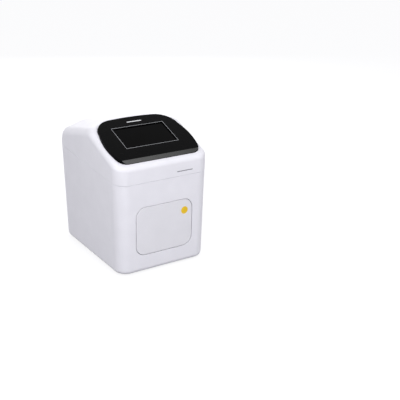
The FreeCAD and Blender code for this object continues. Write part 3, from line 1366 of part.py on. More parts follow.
fan_y = (panel_y - S.fan_depth, panel_y)
fan_stock = rounded_block("fan_stock", both_ways(fan_x, S.fan_size / 2), fan_y, both_ways(S.fan_z, S.fan_size / 2),
                          5.0, "y")
fan_duct = rod("fan_duct", S.fan_bore, (fan_x, fan_y[0] - 1.0, S.fan_z), S.fan_depth + 2.0, "y")
fan_holes = group("fan_holes", [rod(f"fan_hole_{number}", S.screw_shank_radius + S.shaft_clearance,
                                    (x, fan_y[0] - 1.0, z), S.fan_depth + 2.0, "y")
                                for number, (x, z) in enumerate(fan_hole_places)])
spider = [rod("fan_spider_hub", S.fan_hub_radius, (fan_x, fan_y[0], S.fan_z), 3.0, "y")]
for number in range(3):
    arm = block(f"fan_arm_{number}", (0.0, S.fan_bore + 1.0), (fan_y[0], fan_y[0] + 3.0), both_ways(0.0, 2.0))
    turn = Rotation(Vector(0, 1, 0), 30.0 + 120.0 * number)
    arm.setExpression("Placement.Base.x", None)
    arm.setExpression("Placement.Base.z", None)
    corner = turn.multVec(Vector(0, 0, -2.0))
    arm.Placement = Placement(Vector(float(fan_x) + corner.x, float(fan_y[0]), float(S.fan_z) + corner.z), turn)
    bind(arm, "Placement.Base.x", fan_x + corner.x)
    bind(arm, "Placement.Base.z", S.fan_z + corner.z)
    spider.append(arm)
spider.append(rod("fan_spindle", S.rocker_pin, (fan_x, fan_y[0], S.fan_z), S.fan_depth - 8.0, "y"))
node("fan_frame", join("fan_frame_body", cut("fan_duct_body", fan_stock, fan_duct, fan_holes), *spider))
rotor_y = fan_y[0] + 4.0
rotor_depth = S.fan_depth - 6.5
rotor = [rod("rotor_hub", S.fan_hub_radius, (fan_x, rotor_y, S.fan_z), rotor_depth, "y")]
for number in range(int(S.fan_blades)):
    blade = block(f"rotor_blade_{number}", (S.fan_hub_radius - 1.5, S.fan_bore - 1.5), (0.0, 1.6), (-9.0, 9.0))
    pitch = Rotation(Vector(1, 0, 0), 35.0)
    spin = Rotation(Vector(0, 1, 0), 360.0 * number / int(S.fan_blades))
    for axis in "xyz":
        blade.setExpression(f"Placement.Base.{axis}", None)
    middle = Placement(Vector(float(fan_x), float(rotor_y + rotor_depth / 2), float(S.fan_z)), spin)
    offset = Placement(Vector(float(S.fan_hub_radius) - 1.5, 0, 0), pitch)
    blade.Placement = middle.multiply(offset).multiply(Placement(Vector(0, -0.8, -9.0), Rotation()))
    rotor.append(blade)
sweep = rod("rotor_sweep", S.fan_bore - 1.0, (fan_x, rotor_y, S.fan_z), rotor_depth, "y")
rotor_bore = rod("rotor_bore", S.rocker_pin + S.shaft_clearance, (fan_x, rotor_y - 1.0, S.fan_z),
                 S.fan_depth - 9.5, "y")
node("fan_rotor", cut("fan_rotor_body", common("rotor_trimmed", join("rotor_solid", *rotor), sweep), rotor_bore))

card_y = panel_y - S.port_depth
port_card = block("port_card", (port_x - 34.0, port_x + 34.0), (card_y - S.board_thickness, card_y),
                  both_ways(S.port_z, 14.0))
node("io_board", port_card)


def port_shell(name, x, z, width, height, tongue):
    """A board-mounted jack: a hollow shell with its contact tongue."""
    case = block(f"{name}_case", both_ways(x, width / 2), (card_y, panel_out + 0.5), both_ways(z, height / 2))
    hollow = block(f"{name}_hollow", both_ways(x, width / 2 - S.port_wall), (card_y + 2.0, panel_out + 1.5),
                   both_ways(z, height / 2 - S.port_wall))
    tab = block(f"{name}_tongue", both_ways(x, tongue), (card_y + 1.0, panel_out - 3.0),
                both_ways(z + height / 8, height / 10))
    return join(f"{name}_body", cut(f"{name}_open", case, hollow), tab)


node("usb_ports", group("usb_port_pair", [port_shell(tag, *port_places[tag], 4.5) for tag in ("usb_left", "usb_right")]))
node("ethernet_port", port_shell("lan_port", *port_places["lan"], 3.5))


# ---------------------------------------------------------------- electronics

supply_x = (chassis_half_width, chassis_half_width + S.supply_depth)
supply_y = (chassis_back + 9.0 - S.supply_length, chassis_back + 9.0)
supply_z = (S.supply_base, S.supply_base + S.supply_width)
supply_shell = cut(
    "supply_shell", block("supply_case", supply_x, supply_y, supply_z),
    group("supply_vents", [block(f"supply_vent_{number}", (supply_x[1] - 6.0, supply_x[1] + 1.0),
                                 both_ways(supply_y[0] + 20.0 + 12.0 * number, 2.0),
                                 (supply_z[0] + 15.0, supply_z[1] - 15.0)) for number in range(11)]))
node("power_supply", supply_shell)

main_z = deck_top + S.standoff_height
main_y = (chassis_back - S.board_length - 18.0, chassis_back - 18.0)
main_card = block("main_card", both_ways(0.0, board_half_width), main_y, (main_z, main_z + S.board_thickness))
main_parts = [block(f"main_part_{number}", both_ways(x, width / 2), both_ways(main_y[0] + y, depth / 2),
                    (main_z + S.board_thickness / 2, main_z + S.board_thickness + height))
              for number, (x, y, width, depth, height) in enumerate(
                  ((-35.0, 50.0, 34.0, 34.0, 12.0), (25.0, 40.0, 18.0, 18.0, 2.0), (50.0, 70.0, 12.0, 30.0, 9.0),
                   (20.0, 85.0, 30.0, 10.0, 8.0), (-60.0, 15.0, 10.0, 16.0, 7.0)))]
node("main_board", join("main_board_body", main_card, *main_parts))
driver_x = -chassis_half_width - S.standoff_height
driver_y = (chassis_front + 50.0, chassis_front + 50.0 + S.driver_length)
driver_z = (deck_low - 30.0 - S.driver_height, deck_low - 30.0)
driver_card = block("driver_card", (driver_x - S.board_thickness, driver_x), driver_y, driver_z)
driver_parts = [block(f"driver_part_{number}", (driver_x - S.board_thickness - height, driver_x - 0.5),
                      both_ways(driver_y[0] + y, 8.0), both_ways(driver_z[0] + z, 8.0))
                for number, (y, z, height) in enumerate(((20.0, 20.0, 5.0), (50.0, 20.0, 5.0), (50.0, 50.0, 11.0)))]
node("driver_board", join("driver_board_body", driver_card, *driver_parts))
standoffs = [rod(f"main_standoff_{number}", S.standoff_radius, (x, y, deck_top), S.standoff_height)
             for number, (x, y) in enumerate(mirrored([(board_half_width - 5.0, main_y[0] + 5.0),
                                                       (board_half_width - 5.0, main_y[1] - 5.0)]))]
standoffs += [rod(f"driver_standoff_{number}", S.standoff_radius, (driver_x, y, z), S.standoff_height, "x")
              for number, (y, z) in enumerate([(y, z) for y in (driver_y[0] + 5.0, driver_y[1] - 5.0)
                                               for z in (driver_z[0] + 5.0, driver_z[1] - 5.0)])]
standoffs += [rod(f"port_standoff_{number}", S.standoff_radius, (port_x + x, card_y, S.port_z + z),
                  S.port_depth, "y")
              for number, (x, z) in enumerate([(x, z) for x in (-30.0, 30.0) for z in (-10.5, 10.5)])]
node("board_standoffs", group("standoff_set", standoffs))


# ---------------------------------------------------------------- checks and export

def export_nodes():
    """Recomputes, checks every object and writes one file for each named piece."""
    DOC.recompute()
    for obj in DOC.Objects:
        if "Invalid" in obj.State or "Error" in obj.State:
            raise RuntimeError(f"{obj.Name} did not compute: {obj.State}")
    os.makedirs("parts", exist_ok=True)
    for obj in NODES:
        if obj.Shape.isNull() or not obj.Shape.isValid() or not obj.Shape.Solids:
            raise RuntimeError(f"{obj.Label} has no valid solid")
    for obj in NODES:
        obj.Shape.exportStep(f"parts/{obj.Label}.step")
    print(len(NODES), "pieces written")


export_nodes()
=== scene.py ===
"""Benchtop thermal cycler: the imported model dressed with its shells, finishes and studio.

Lengths are in metres in the model's own frame, or in mm where that is said: +Z up, the drawer faces -Y,
the bench is z = 0.
"""
import json
import math

import bpy
from bpy.props import FloatProperty, FloatVectorProperty, PointerProperty
from bpy.types import Operator, Panel, PropertyGroup
from mathutils import Matrix, Vector

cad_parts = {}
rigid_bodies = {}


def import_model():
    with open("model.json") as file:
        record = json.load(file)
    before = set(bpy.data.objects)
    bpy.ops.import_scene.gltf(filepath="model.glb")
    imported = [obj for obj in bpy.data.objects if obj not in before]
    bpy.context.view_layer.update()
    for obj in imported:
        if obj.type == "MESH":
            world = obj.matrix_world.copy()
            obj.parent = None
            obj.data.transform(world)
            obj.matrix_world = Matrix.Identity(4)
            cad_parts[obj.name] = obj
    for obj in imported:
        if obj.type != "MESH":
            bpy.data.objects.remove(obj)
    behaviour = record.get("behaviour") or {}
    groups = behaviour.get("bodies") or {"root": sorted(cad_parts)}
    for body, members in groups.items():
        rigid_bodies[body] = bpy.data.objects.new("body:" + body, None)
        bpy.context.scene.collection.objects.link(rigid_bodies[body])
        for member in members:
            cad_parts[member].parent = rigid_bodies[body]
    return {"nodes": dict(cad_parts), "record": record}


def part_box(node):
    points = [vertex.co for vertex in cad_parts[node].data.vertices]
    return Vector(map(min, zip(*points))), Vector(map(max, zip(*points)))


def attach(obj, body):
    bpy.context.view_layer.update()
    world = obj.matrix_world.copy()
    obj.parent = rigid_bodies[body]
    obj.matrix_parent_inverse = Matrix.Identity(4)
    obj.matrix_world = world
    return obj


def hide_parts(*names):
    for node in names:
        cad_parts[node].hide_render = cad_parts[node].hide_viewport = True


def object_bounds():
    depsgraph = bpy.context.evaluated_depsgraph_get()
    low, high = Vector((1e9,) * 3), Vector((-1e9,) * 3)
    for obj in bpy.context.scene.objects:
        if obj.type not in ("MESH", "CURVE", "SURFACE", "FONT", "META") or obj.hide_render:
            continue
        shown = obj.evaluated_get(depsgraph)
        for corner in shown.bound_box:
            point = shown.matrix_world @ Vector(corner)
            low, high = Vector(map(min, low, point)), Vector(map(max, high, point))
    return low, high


bl_info = {
    "name": "Benchtop thermal cycler",
    "version": (1, 0, 0),
    "blender": (4, 5, 0),
    "location": "3D View > Sidebar > Cycler",
    "description": "Dresses the packed thermal cycler with its shells, finishes and studio",
    "category": "Object",
}

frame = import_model()
CAD_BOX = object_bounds()
MM = 0.001
FINISHES = {}  # finished materials by slot

# Mesh work: points closer than WELD are one, faces turned less than FLAT are one, a face looks a way when the
# cosine is over FACING, and edges sharper than SHARP are rounded.
WELD, FLAT, FACING, SHARP = 0.00002, math.radians(0.4), 0.9, math.radians(30)
# Patterns are read between these two values of their noise.
NOISE_LOW, NOISE_HIGH = 0.3, 0.7
# Housing: height of the line where the casings meet, and the band above it that holds the rounded rim.
SEAM_FRONT, SEAM_BACK = 0.254, 0.282
RIM_SLACK, RIM_SHARE = 0.00005, 1.2
# Display: the bezel's cut is where its normal is under CUT_FORWARD in Y and over CUT_UPWARD in Z. The glass's
# face sinks, its back lifts off the panel, and the pale line round the window, a painted highlight for the
# light on the window's edge, lies on the bezel's face.
DISPLAY_TILT = math.radians(20.1)
DISPLAY_OUTWARD = Vector((0, -math.sin(DISPLAY_TILT), math.cos(DISPLAY_TILT)))
CUT_FORWARD, CUT_UPWARD = -0.75, 0.2
PANE_SINK, PANE_GAP = 0.0001, 0.0003
LINE_LIFT, LINE_FILM = 0.00393, 0.00008
# Plain marks: their thickness in mm, the shares of it that are sunk in and rounded, how far in front of the
# drawer their projection starts, the angle over which an edge is rounded, and where they lie.
MARK_FILM, MARK_SUNK, MARK_EDGE, MARK_START, MARK_SHARP = 0.12, 0.45, 0.3, 0.02, math.radians(40)
FRONT_BAR_HEIGHT, FRONT_BAR_CORNER, FRONT_BAR_X, FRONT_BAR_Z = 0.0024, 0.0007, 0.0598, 0.2676
DOT_X, DOT_Z = 0.061, 0.155
BEZEL_BAR, BEZEL_BAR_CORNER, BEZEL_BAR_PLACE = (0.044, 0.0034), 0.0015, (0.0, -0.0185, 0.39)
# Rear inlet: the box about the socket's middle that holds only its contacts. Boards: height of the bare card.
CONTACTS_WIDE, CONTACTS_HIGH, CONTACTS_BACK, CONTACTS_FRONT = 0.0085, 0.0052, 0.006, 0.004
CARD_TOP = 0.0019
# Pan-head screws: the head's height as a share of its radius and of the screw's length, the shank and the
# recess's reach and slot as shares of the radius, and the rounding and the recess's depth as shares of the
# head's height. The recess narrows to RECESS_TAPER, and an edge is at the top within TOP_SLACK.
HEAD_BY_RADIUS, HEAD_BY_LENGTH, SHANK, HEAD_ROUND = 0.62, 0.4, 0.5, 0.55
RECESS_REACH, RECESS_SLOT, RECESS_DEPTH, RECESS_TAPER = 0.58, 0.17, 0.8, 0.55
TOP_SLACK, SCREW_SHARP = 0.000001, math.radians(32)
FIRST_TURN, NEXT_TURN = 17, 41  # degrees that the recesses are turned, so that no two look alike
# Studio: each lamp's name, power setting, size, place and aim; then the floor and the camera.
LAMPS = (("key_lamp", "key_power", 1.8, (0.5, -2.45, 1.2), (0.0, 0.0, 0.18)),
         ("fill_lamp", "fill_power", 1.2, (-1.3, -1.05, 1.0), (-0.1, -0.1, 0.2)),
         ("top_lamp", "top_power", 1.6, (-0.3, 0.3, 2.4), (0.0, 0.0, 0.3)),
         ("rear_lamp", "rear_power", 1.4, (1.1, 2.2, 1.2), (0.0, 0.0, 0.2)))
FLOOR_SIZE, FLOOR_GLOW = 12.0, 0.8
CAMERA_LENS, CAMERA_SENSOR = 68.22, 36.0  # mm
CAMERA_PLACE = (-0.94813, -1.75953, 0.91170)
CAMERA_TURNS = ((-33.8284, "Z"), (68.7842, "X"), (1.0803, "Z"))  # degrees about each axis, in this order


# ---------------------------------------------------------------- modelling helpers

def select_only(*objects):
    """Leaves object mode's selection on these objects, the last one active."""
    if bpy.context.object and bpy.context.object.mode != "OBJECT":
        bpy.ops.object.mode_set(mode="OBJECT")
    bpy.ops.object.select_all(action="DESELECT")
    for obj in objects:
        obj.hide_set(False)
        obj.select_set(True)
        bpy.context.view_layer.objects.active = obj


def settle(obj):
    """Moves the object's place into its mesh, so that its origin is the frame's."""
    select_only(obj)
    bpy.ops.object.transform_apply(location=True, rotation=True, scale=True)
    return obj


def new_box(name, low, high):
    """A box primitive between two corners, ready to be shaped."""
    low, high = Vector(low), Vector(high)
    select_only()
    bpy.ops.mesh.primitive_cube_add(size=1.0, location=(low + high) / 2)
    obj = bpy.context.object
    obj.name = name
    obj.scale = high - low
    return settle(obj)


def new_disc(name, radius, depth, middle):
    """An upright cylinder primitive about a middle, ready to be shaped."""
    select_only()
    bpy.ops.mesh.primitive_cylinder_add(vertices=32, radius=radius, depth=depth, location=middle)
    obj = bpy.context.object
    obj.name = name
    return settle(obj)


def pick(obj, faces=None, edges=None):
    """Selects faces by middle and normal, or edges by their two ends, and nothing else."""
    mesh = obj.data
    select_only(obj)
    bpy.ops.object.mode_set(mode="EDIT")
    bpy.ops.mesh.select_mode(type="FACE" if faces else "EDGE")
    bpy.ops.mesh.select_all(action="DESELECT")
    bpy.ops.object.mode_set(mode="OBJECT")
    if faces:
        for face in mesh.polygons:
            face.select = faces(face.center, face.normal)
    if edges:
        for edge in mesh.edges:
            start, end = (mesh.vertices[number].co for number in edge.vertices)
            edge.select = edges(start, end)
    bpy.ops.object.mode_set(mode="EDIT")


def done():
    """Leaves edit mode."""
    bpy.ops.object.mode_set(mode="OBJECT")


def modify(obj, name, kind, **settings):
    """Gives the active object a modifier with these settings and applies it."""
    modifier = obj.modifiers.new(name, kind)
    for key, value in settings.items():
        setattr(modifier, key, value)
    bpy.ops.object.modifier_apply(modifier=name)


def soften(obj, width, segments):
    """Rounds the sharp edges a little, as a tool or mould leaves them, and evens the shading."""
    select_only(obj)
    modify(obj, "rounding", "BEVEL", width=width, segments=segments, limit_method="ANGLE", angle_limit=SHARP,
           harden_normals=False, use_clamp_overlap=False)
    bpy.ops.object.shade_smooth()
    modify(obj, "even", "WEIGHTED_NORMAL", keep_sharp=True, weight=80)


def welded_copy(node):
    """A loose copy of a CAD node with its triangles welded, left in edit mode with everything selected."""
    select_only(frame["nodes"][node])
    bpy.ops.object.duplicate()
    bpy.ops.object.parent_clear(type="CLEAR_KEEP_TRANSFORM")
    bpy.ops.object.mode_set(mode="EDIT")
    bpy.ops.mesh.select_mode(type="VERT")
    bpy.ops.mesh.select_all(action="SELECT")
    bpy.ops.mesh.remove_doubles(threshold=WELD)
    return bpy.context.object


def skin_of(node, name):
    """A clean copy of a CAD node: its triangles welded and its flat faces made whole."""
    obj = welded_copy(node)
    bpy.ops.mesh.dissolve_limited(angle_limit=FLAT, delimit=set())
    done()
    obj.name = name
    obj.data.materials.clear()
    return obj


def fit(obj, body, finish, *nodes):
    """The finished piece rides on its body, takes its finish and stands for CAD nodes."""
    obj.data.materials.clear()
    obj.data.materials.append(FINISHES[finish])
    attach(obj, body)
    if nodes:
        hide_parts(*nodes)
    return obj


def body_of(node):
    """The name of the body that a node rides on."""
    for name, nodes in frame["record"]["behaviour"]["bodies"].items():
        if node in nodes:
            return name
    raise ValueError(node)


def slot_of(node):
    """The material slot that the record gives a node."""
    return next(part["material_slot"] for part in frame["record"]["subparts"] if part["node"] == node)


# ---------------------------------------------------------------- material helpers

def linear(hex_colour):
    """An sRGB hex colour as the linear colour that shaders take."""
    channels = [int(hex_colour[start:start + 2], 16) / 255 for start in (0, 2, 4)]
    return tuple(c / 12.92 if c <= 0.04045 else ((c + 0.055) / 1.055) ** 2.4 for c in channels) + (1.0,)


def add(tree, kind, settings=(), links=()):
    """Adds a node with its attributes and input values, and links sockets into it."""
    node = tree.nodes.new(kind)
    for key, value in dict(settings).items():
        if isinstance(key, str) and hasattr(node, key):
            setattr(node, key, value)
        else:
            node.inputs[key].default_value = value
    for key, socket in dict(links).items():
        tree.links.new(socket, node.inputs[key])
    return node


def empty_tree(owner):
    """The cleared shader nodes of a material or a world."""
    owner.use_nodes = True
    owner.node_tree.nodes.clear()
    return owner.node_tree


def new_finish(slot, name, colour, roughness, metallic=0.0, **sockets):
    """A material with plain values on its shader; gives the tree, the shader and object coordinates."""
    material = bpy.data.materials.new(name)
    tree = empty_tree(material)
    values = {"Base Color": linear(colour), "Roughness": roughness, "Metallic": metallic}
    values.update({key.replace("_", " "): value for key, value in sockets.items()})
    shader = add(tree, "ShaderNodeBsdfPrincipled", values)
    add(tree, "ShaderNodeOutputMaterial", (), {"Surface": shader.outputs["BSDF"]})
    FINISHES[slot] = material
    return tree, shader, add(tree, "ShaderNodeTexCoord").outputs["Object"]


def grain(tree, place, size, detail=2.0, stretch=None):
    """Cloudy noise with blobs of about this size in mm, drawn out along an axis where stretch is under 1."""
    if stretch:
        place = add(tree, "ShaderNodeMapping", {"Scale": stretch}, {"Vector": place}).outputs["Vector"]
    return add(tree, "ShaderNodeTexNoise", {"Scale": 1 / (size * MM), "Detail": detail},
               {"Vector": place}).outputs["Fac"]


def cells(tree, place, size):
    """Crystal-like cells of about this size in mm, each with a colour of its own."""
    return add(tree, "ShaderNodeTexVoronoi", {"Scale": 1 / (size * MM)}, {"Vector": place}).outputs["Color"]


def ribs(tree, place, pitch, along="Y"):
    """Even bands across an axis, one per pitch in mm."""
    settings = {"wave_type": "BANDS", "bands_direction": along, "wave_profile": "SIN",
                "Scale": math.pi / 10 / (pitch * MM)}
    return add(tree, "ShaderNodeTexWave", settings, {"Vector": place}).outputs["Fac"]


def tint(tree, shader, source, low, high, start=NOISE_LOW, stop=NOISE_HIGH):
    """The base colour goes from one hex colour to another with a pattern."""
    ramp = add(tree, "ShaderNodeValToRGB", (), {"Fac": source})
    first, last = ramp.color_ramp.elements
    first.position, first.color = start, linear(low)
    last.position, last.color = stop, linear(high)
    tree.links.new(ramp.outputs["Color"], shader.inputs["Base Color"])


def polish(tree, shader, source, low, high):
    """The roughness goes from one value to another with a pattern."""
    limits = {"From Min": NOISE_LOW, "From Max": NOISE_HIGH, "To Min": low, "To Max": high}
    spread = add(tree, "ShaderNodeMapRange", limits, {"Value": source})
    tree.links.new(spread.outputs["Result"], shader.inputs["Roughness"])


def relief(tree, shader, source, height, strength=1.0):
    """A pattern raises the surface by a height in mm."""
    bump = add(tree, "ShaderNodeBump", {"Strength": strength, "Distance": height * MM}, {"Height": source})
    tree.links.new(bump.outputs["Normal"], shader.inputs["Normal"])


def moulded(slot, name, low, high, roughness, texture=0.35, height=0.012, clouds=38.0, **sockets):
    """Moulded plastic: a very fine spark-eroded texture, a faint colour drift and uneven polish."""
    tree, shader, place = new_finish(slot, name, high, roughness[0], **sockets)
    drift = grain(tree, place, clouds)
    tint(tree, shader, drift, low, high)
    polish(tree, shader, grain(tree, place, clouds / 6, 4.0), *roughness)
    relief(tree, shader, grain(tree, place, texture), height, 0.5)


def metal(slot, name, low, high, roughness, grain_size, stretch=None, height=0.006):
    """Bare or plated metal whose tool marks run along the drawn-out axis."""
    tree, shader, place = new_finish(slot, name, high, roughness[0], 1.0)
    marks = grain(tree, place, grain_size, 3.0, stretch)
    tint(tree, shader, marks, low, high)
    polish(tree, shader, marks, *roughness)
    relief(tree, shader, marks, height, 0.4)


def board(slot, name, mask, track):
    """A circuit board: solder mask with tracks showing through it and a soft gloss."""
    tree, shader, place = new_finish(slot, name, mask, 0.34, Coat_Weight=0.35, Coat_Roughness=0.18)
    edge = add(tree, "ShaderNodeTexVoronoi", {"feature": "DISTANCE_TO_EDGE", "Scale": 1 / (5.5 * MM),
                                              "Randomness": 0.75}, {"Vector": place}).outputs["Distance"]
    tint(tree, shader, edge, track, mask, 0.03, 0.09)
    relief(tree, shader, edge, 0.02, 0.3)


def seen_directly(tree):
    """One for rays from the camera, mirrors and glass, so that all of them show the white room."""
    ways = add(tree, "ShaderNodeLightPath")
    seen = ways.outputs["Is Camera Ray"]
    for kind in ("Is Glossy Ray", "Is Transmission Ray"):
        larger = add(tree, "ShaderNodeMath", {"operation": "MAXIMUM"}, {0: seen, 1: ways.outputs[kind]})
        seen = larger.outputs[0]
    return seen


def make_finishes(colours):
    """Every finish of the instrument, by the slot that it fills."""
    def from_property(value):
        return "".join(f"{round(255 * (c * 12.92 if c <= 0.0031308 else 1.055 * c ** (1 / 2.4) - 0.055)):02X}"
                       for c in value)

    def shade(hex_colour, step):
        return "".join(f"{max(0, min(255, int(hex_colour[i:i + 2], 16) + step)):02X}" for i in (0, 2, 4))

    casing = from_property(colours.casing)
    door = from_property(colours.door)
    bezel = from_property(colours.bezel)
    # Satin ABS, cool white, with the mould's fine spark texture.
    moulded("casing_plastic", "satin_white_abs", shade(casing, -3), casing, (0.44, 0.52),
            Specular_IOR_Level=0.28)
    # The drawer's front: the same ABS from another tool, a touch greyer.
    moulded("door_plastic", "satin_white_abs_door", shade(door, -3), door, (0.46, 0.54),
            Specular_IOR_Level=0.28)
    # Deep black film over the bezel's face, and the polished cut along its front.
    moulded("bezel_black", "deep_black_film", shade(bezel, -2), bezel, (0.22, 0.28), 0.4, 0.001, 60.0,
            Specular_IOR_Level=0.02)
    moulded("bezel_cut", "polished_black_abs", shade(bezel, -2), bezel, (0.2, 0.26), 0.4, 0.001, 60.0)
    # Cover glass over its unlit panel: it reads black, and its coating mirrors very little.
    tree, shader, place = new_finish("display_glass", "bonded_cover_glass", "040405", 0.08,
                                     Specular_IOR_Level=0.02)
    tint(tree, shader, grain(tree, place, 40.0), "030303", "050506")
    polish(tree, shader, grain(tree, place, 26.0, 4.0), 0.06, 0.12)
    # Unlit liquid-crystal panel: near black with fine columns.
    tree, shader, place = new_finish("lcd_black", "unlit_lcd_panel", "060608", 0.3, Specular_IOR_Level=0.05)
    columns = ribs(tree, place, 0.4, "X")
    tint(tree, shader, columns, "050506", "08080B", 0.2, 0.8)
    polish(tree, shader, grain(tree, place, 30.0), 0.26, 0.34)
    # Galvanised sheet with its spangle.
    for slot, name, low, high in (("zinc_steel", "galvanised_sheet", "9DA2A6", "BFC3C6"),
                                  ("supply_steel", "galvanised_supply_case", "979CA0", "B4B8BB")):
        tree, shader, place = new_finish(slot, name, high, 0.42, 1.0)
        facets = add(tree, "ShaderNodeRGBToBW", (), {"Color": cells(tree, place, 7.0)}).outputs["Val"]
        tint(tree, shader, facets, low, high, 0.1, 0.9)
        polish(tree, shader, facets, 0.34, 0.52)
        relief(tree, shader, grain(tree, place, 1.2), 0.01, 0.3)
    # Powder coat with a little orange peel.
    tree, shader, place = new_finish("grey_paint", "grey_powder_coat", "C3C5CB", 0.5)
    tint(tree, shader, grain(tree, place, 30.0), "BFC1C7", "C7C9CF")
    peel = grain(tree, place, 1.1, 1.0)
    polish(tree, shader, peel, 0.46, 0.56)
    relief(tree, shader, peel, 0.035, 0.6)
    # Moulded rubber, dull and slightly dusty.
    moulded("foot_rubber", "moulded_rubber", "1B1B1C", "262627", (0.72, 0.86), 0.7, 0.04, 14.0)
    metal("screw_steel", "zinc_plated_screw", "B3B4AE", "D0D1CB", (0.24, 0.36), 1.4)
    board("board_green", "green_solder_mask", "11422A", "1D6A42")
    board("board_white", "white_solder_mask", "DADBD6", "EDEEEA")
    moulded("rail_nylon", "natural_nylon", "DDD8C8", "EAE6DA", (0.42, 0.54), 0.9, 0.02, 18.0)
    metal("runner_steel", "ground_steel", "A4A7AA", "C2C4C6", (0.2, 0.34), 1.2, (1.0, 0.06, 1.0))
    # Black anodised extrusion with its draw lines.
    tree, shader, place = new_finish("black_aluminium", "black_anodised_extrusion", "1C1D1F", 0.42, 0.7)
    lines = grain(tree, place, 0.9, 3.0, (1.0, 0.03, 1.0))
    tint(tree, shader, lines, "17181A", "242528")
    polish(tree, shader, lines, 0.36, 0.5)
    relief(tree, shader, lines, 0.01, 0.4)
    moulded("ceramic_white", "alumina_ceramic", "E3E0D7", "F0EEE8", (0.5, 0.62), 0.5, 0.02, 9.0)
    metal("block_aluminium", "bead_blasted_aluminium", "C6C8CA", "D4D6D8", (0.42, 0.5), 0.6, None, 0.0015)
    moulded("surround_black", "black_glass_filled_pbt", "161719", "202123", (0.46, 0.6), 0.5, 0.03, 20.0)
    # Moulded belt with its teeth showing as even ribs.
    tree, shader, place = new_finish("belt_rubber", "toothed_belt", "1A1A1B", 0.72)
    teeth = ribs(tree, place, 2.5)
    tint(tree, shader, teeth, "131314", "232324", 0.2, 0.8)
    polish(tree, shader, grain(tree, place, 3.0), 0.64, 0.8)
    relief(tree, shader, teeth, 0.5, 0.8)
    metal("pulley_aluminium", "turned_aluminium", "B0B3B6", "CDCFD2", (0.22, 0.36), 0.8)
    moulded("motor_black", "black_motor_lacquer", "131315", "1D1D20", (0.28, 0.4), 1.6, 0.02, 16.0)
    # Polyimide heater film with its serpentine foil.
    tree, shader, place = new_finish("heater_film", "polyimide_film", "B06A1E", 0.26, Coat_Weight=0.4)
    foil = ribs(tree, place, 3.2, "X")
    tint(tree, shader, foil, "8A4A12", "C07A2A", 0.35, 0.65)
    relief(tree, shader, foil, 0.03, 0.4)
    metal("nut_brass", "turned_brass", "B38F3E", "D6B163", (0.2, 0.34), 0.9)
    # Interference filter: violet in reflection.
    tree, shader, place = new_finish("filter_glass", "interference_filter", "3B2C63", 0.06, 0.35,
                                     Coat_Weight=1.0)
    tint(tree, shader, grain(tree, place, 24.0), "352A66", "4A2F63")
    moulded("fitting_black", "black_pbt", "141415", "1E1E20", (0.4, 0.52), 0.5, 0.02, 16.0)
    moulded("rocker_black", "satin_black_polycarbonate", "0F0F10", "171718", (0.26, 0.36), 0.6, 0.01, 10.0)
    metal("port_steel", "tin_plated_steel", "A6A9AB", "C6C8CA", (0.26, 0.4), 1.0)
    # Prints, the dot, the painted highlight round the window, the packages on the boards and the inlet's
    # contacts.
    moulded("print_grey", "grey_print_ink", "6C6C74", "7A7A82", (0.5, 0.6), 0.6, 0.004, 12.0)
    moulded("print_pale", "pale_print_ink", "D2D3D7", "E0E1E5", (0.4, 0.5), 0.6, 0.004, 12.0)
    # Pale grey line round the window: a painted highlight for the light that the window's edge catches.
    moulded("window_edge_highlight", "silver_print_ink", "8E8F94", "9FA0A5", (0.36, 0.46), 0.6, 0.004, 12.0)
    moulded("vinyl_yellow", "yellow_vinyl", "E0B713", "EBC41C", (0.34, 0.44), 0.8, 0.008, 14.0)
    moulded("chip_epoxy", "black_epoxy_package", "1A1A1C", "252528", (0.48, 0.6), 0.4, 0.02, 8.0)
    metal("contact_tin", "tinned_contact", "B9B4A0", "D8D4C4", (0.2, 0.32), 0.8)


# ---------------------------------------------------------------- pieces

def dress(name, node, width, segments=2, shape=None):
    """A welded skin, rounded by a width in mm, that stands for a CAD node in the node's own finish."""
    obj = skin_of(node, name)
    if shape:
        shape(obj)
    if width:
        soften(obj, width * MM, segments)
    else:
        select_only(obj)
        bpy.ops.object.shade_smooth_by_angle(angle=SHARP)
    return fit(obj, body_of(node), slot_of(node), node)


def open_seam(obj, edge, gap):
    """Lifts the cover's rounded rim along its upright walls, which leaves the shut line of two mouldings."""
    slope = (SEAM_BACK - SEAM_FRONT) / (CAD_BOX[1][1] - CAD_BOX[0][1])

    def on_rim(point):
        above = point.z - SEAM_FRONT - slope * (point.y - CAD_BOX[0][1])
        return -RIM_SLACK < above < edge * RIM_SHARE

    pick(obj, edges=lambda start, end: on_rim(start) and on_rim(end))
    bpy.ops.transform.translate(value=(0, 0, gap))
    done()


def thin_pane(obj):
    """Sinks the pane's face a little and lifts its back off the panel behind it."""
    for facing, step in ((DISPLAY_OUTWARD, PANE_SINK), (-DISPLAY_OUTWARD, PANE_GAP)):
        pick(obj, faces=lambda middle, normal: normal.dot(facing) > FACING)
        bpy.ops.transform.translate(value=-facing * step)
        done()


def repaint(obj, finish, test):
    """Faces that pass a test of their middle and normal take a second finish."""
    obj.data.materials.append(FINISHES[finish])
    number = len(obj.data.materials) - 1
    for face in obj.data.polygons:
        if test(face.center, face.normal):
            face.material_index = number


def islands(node):
    """The lowest and highest corners of each separate solid in a node, in a steady order."""
    welded_copy(node)
    bpy.ops.mesh.separate(type="LOOSE")
    done()
    pieces = list(bpy.context.selected_objects)
    found = []
    for piece in pieces:
        points = [piece.matrix_world @ vertex.co for vertex in piece.data.vertices]
        found.append((Vector(min(p[i] for p in points) for i in range(3)),
                      Vector(max(p[i] for p in points) for i in range(3))))
    bpy.ops.object.select_all(action="DESELECT")
    for piece in pieces:
        piece.select_set(True)
    bpy.ops.object.delete()
    return sorted(found, key=lambda pair: tuple(round(value, 5) for value in pair[0]))


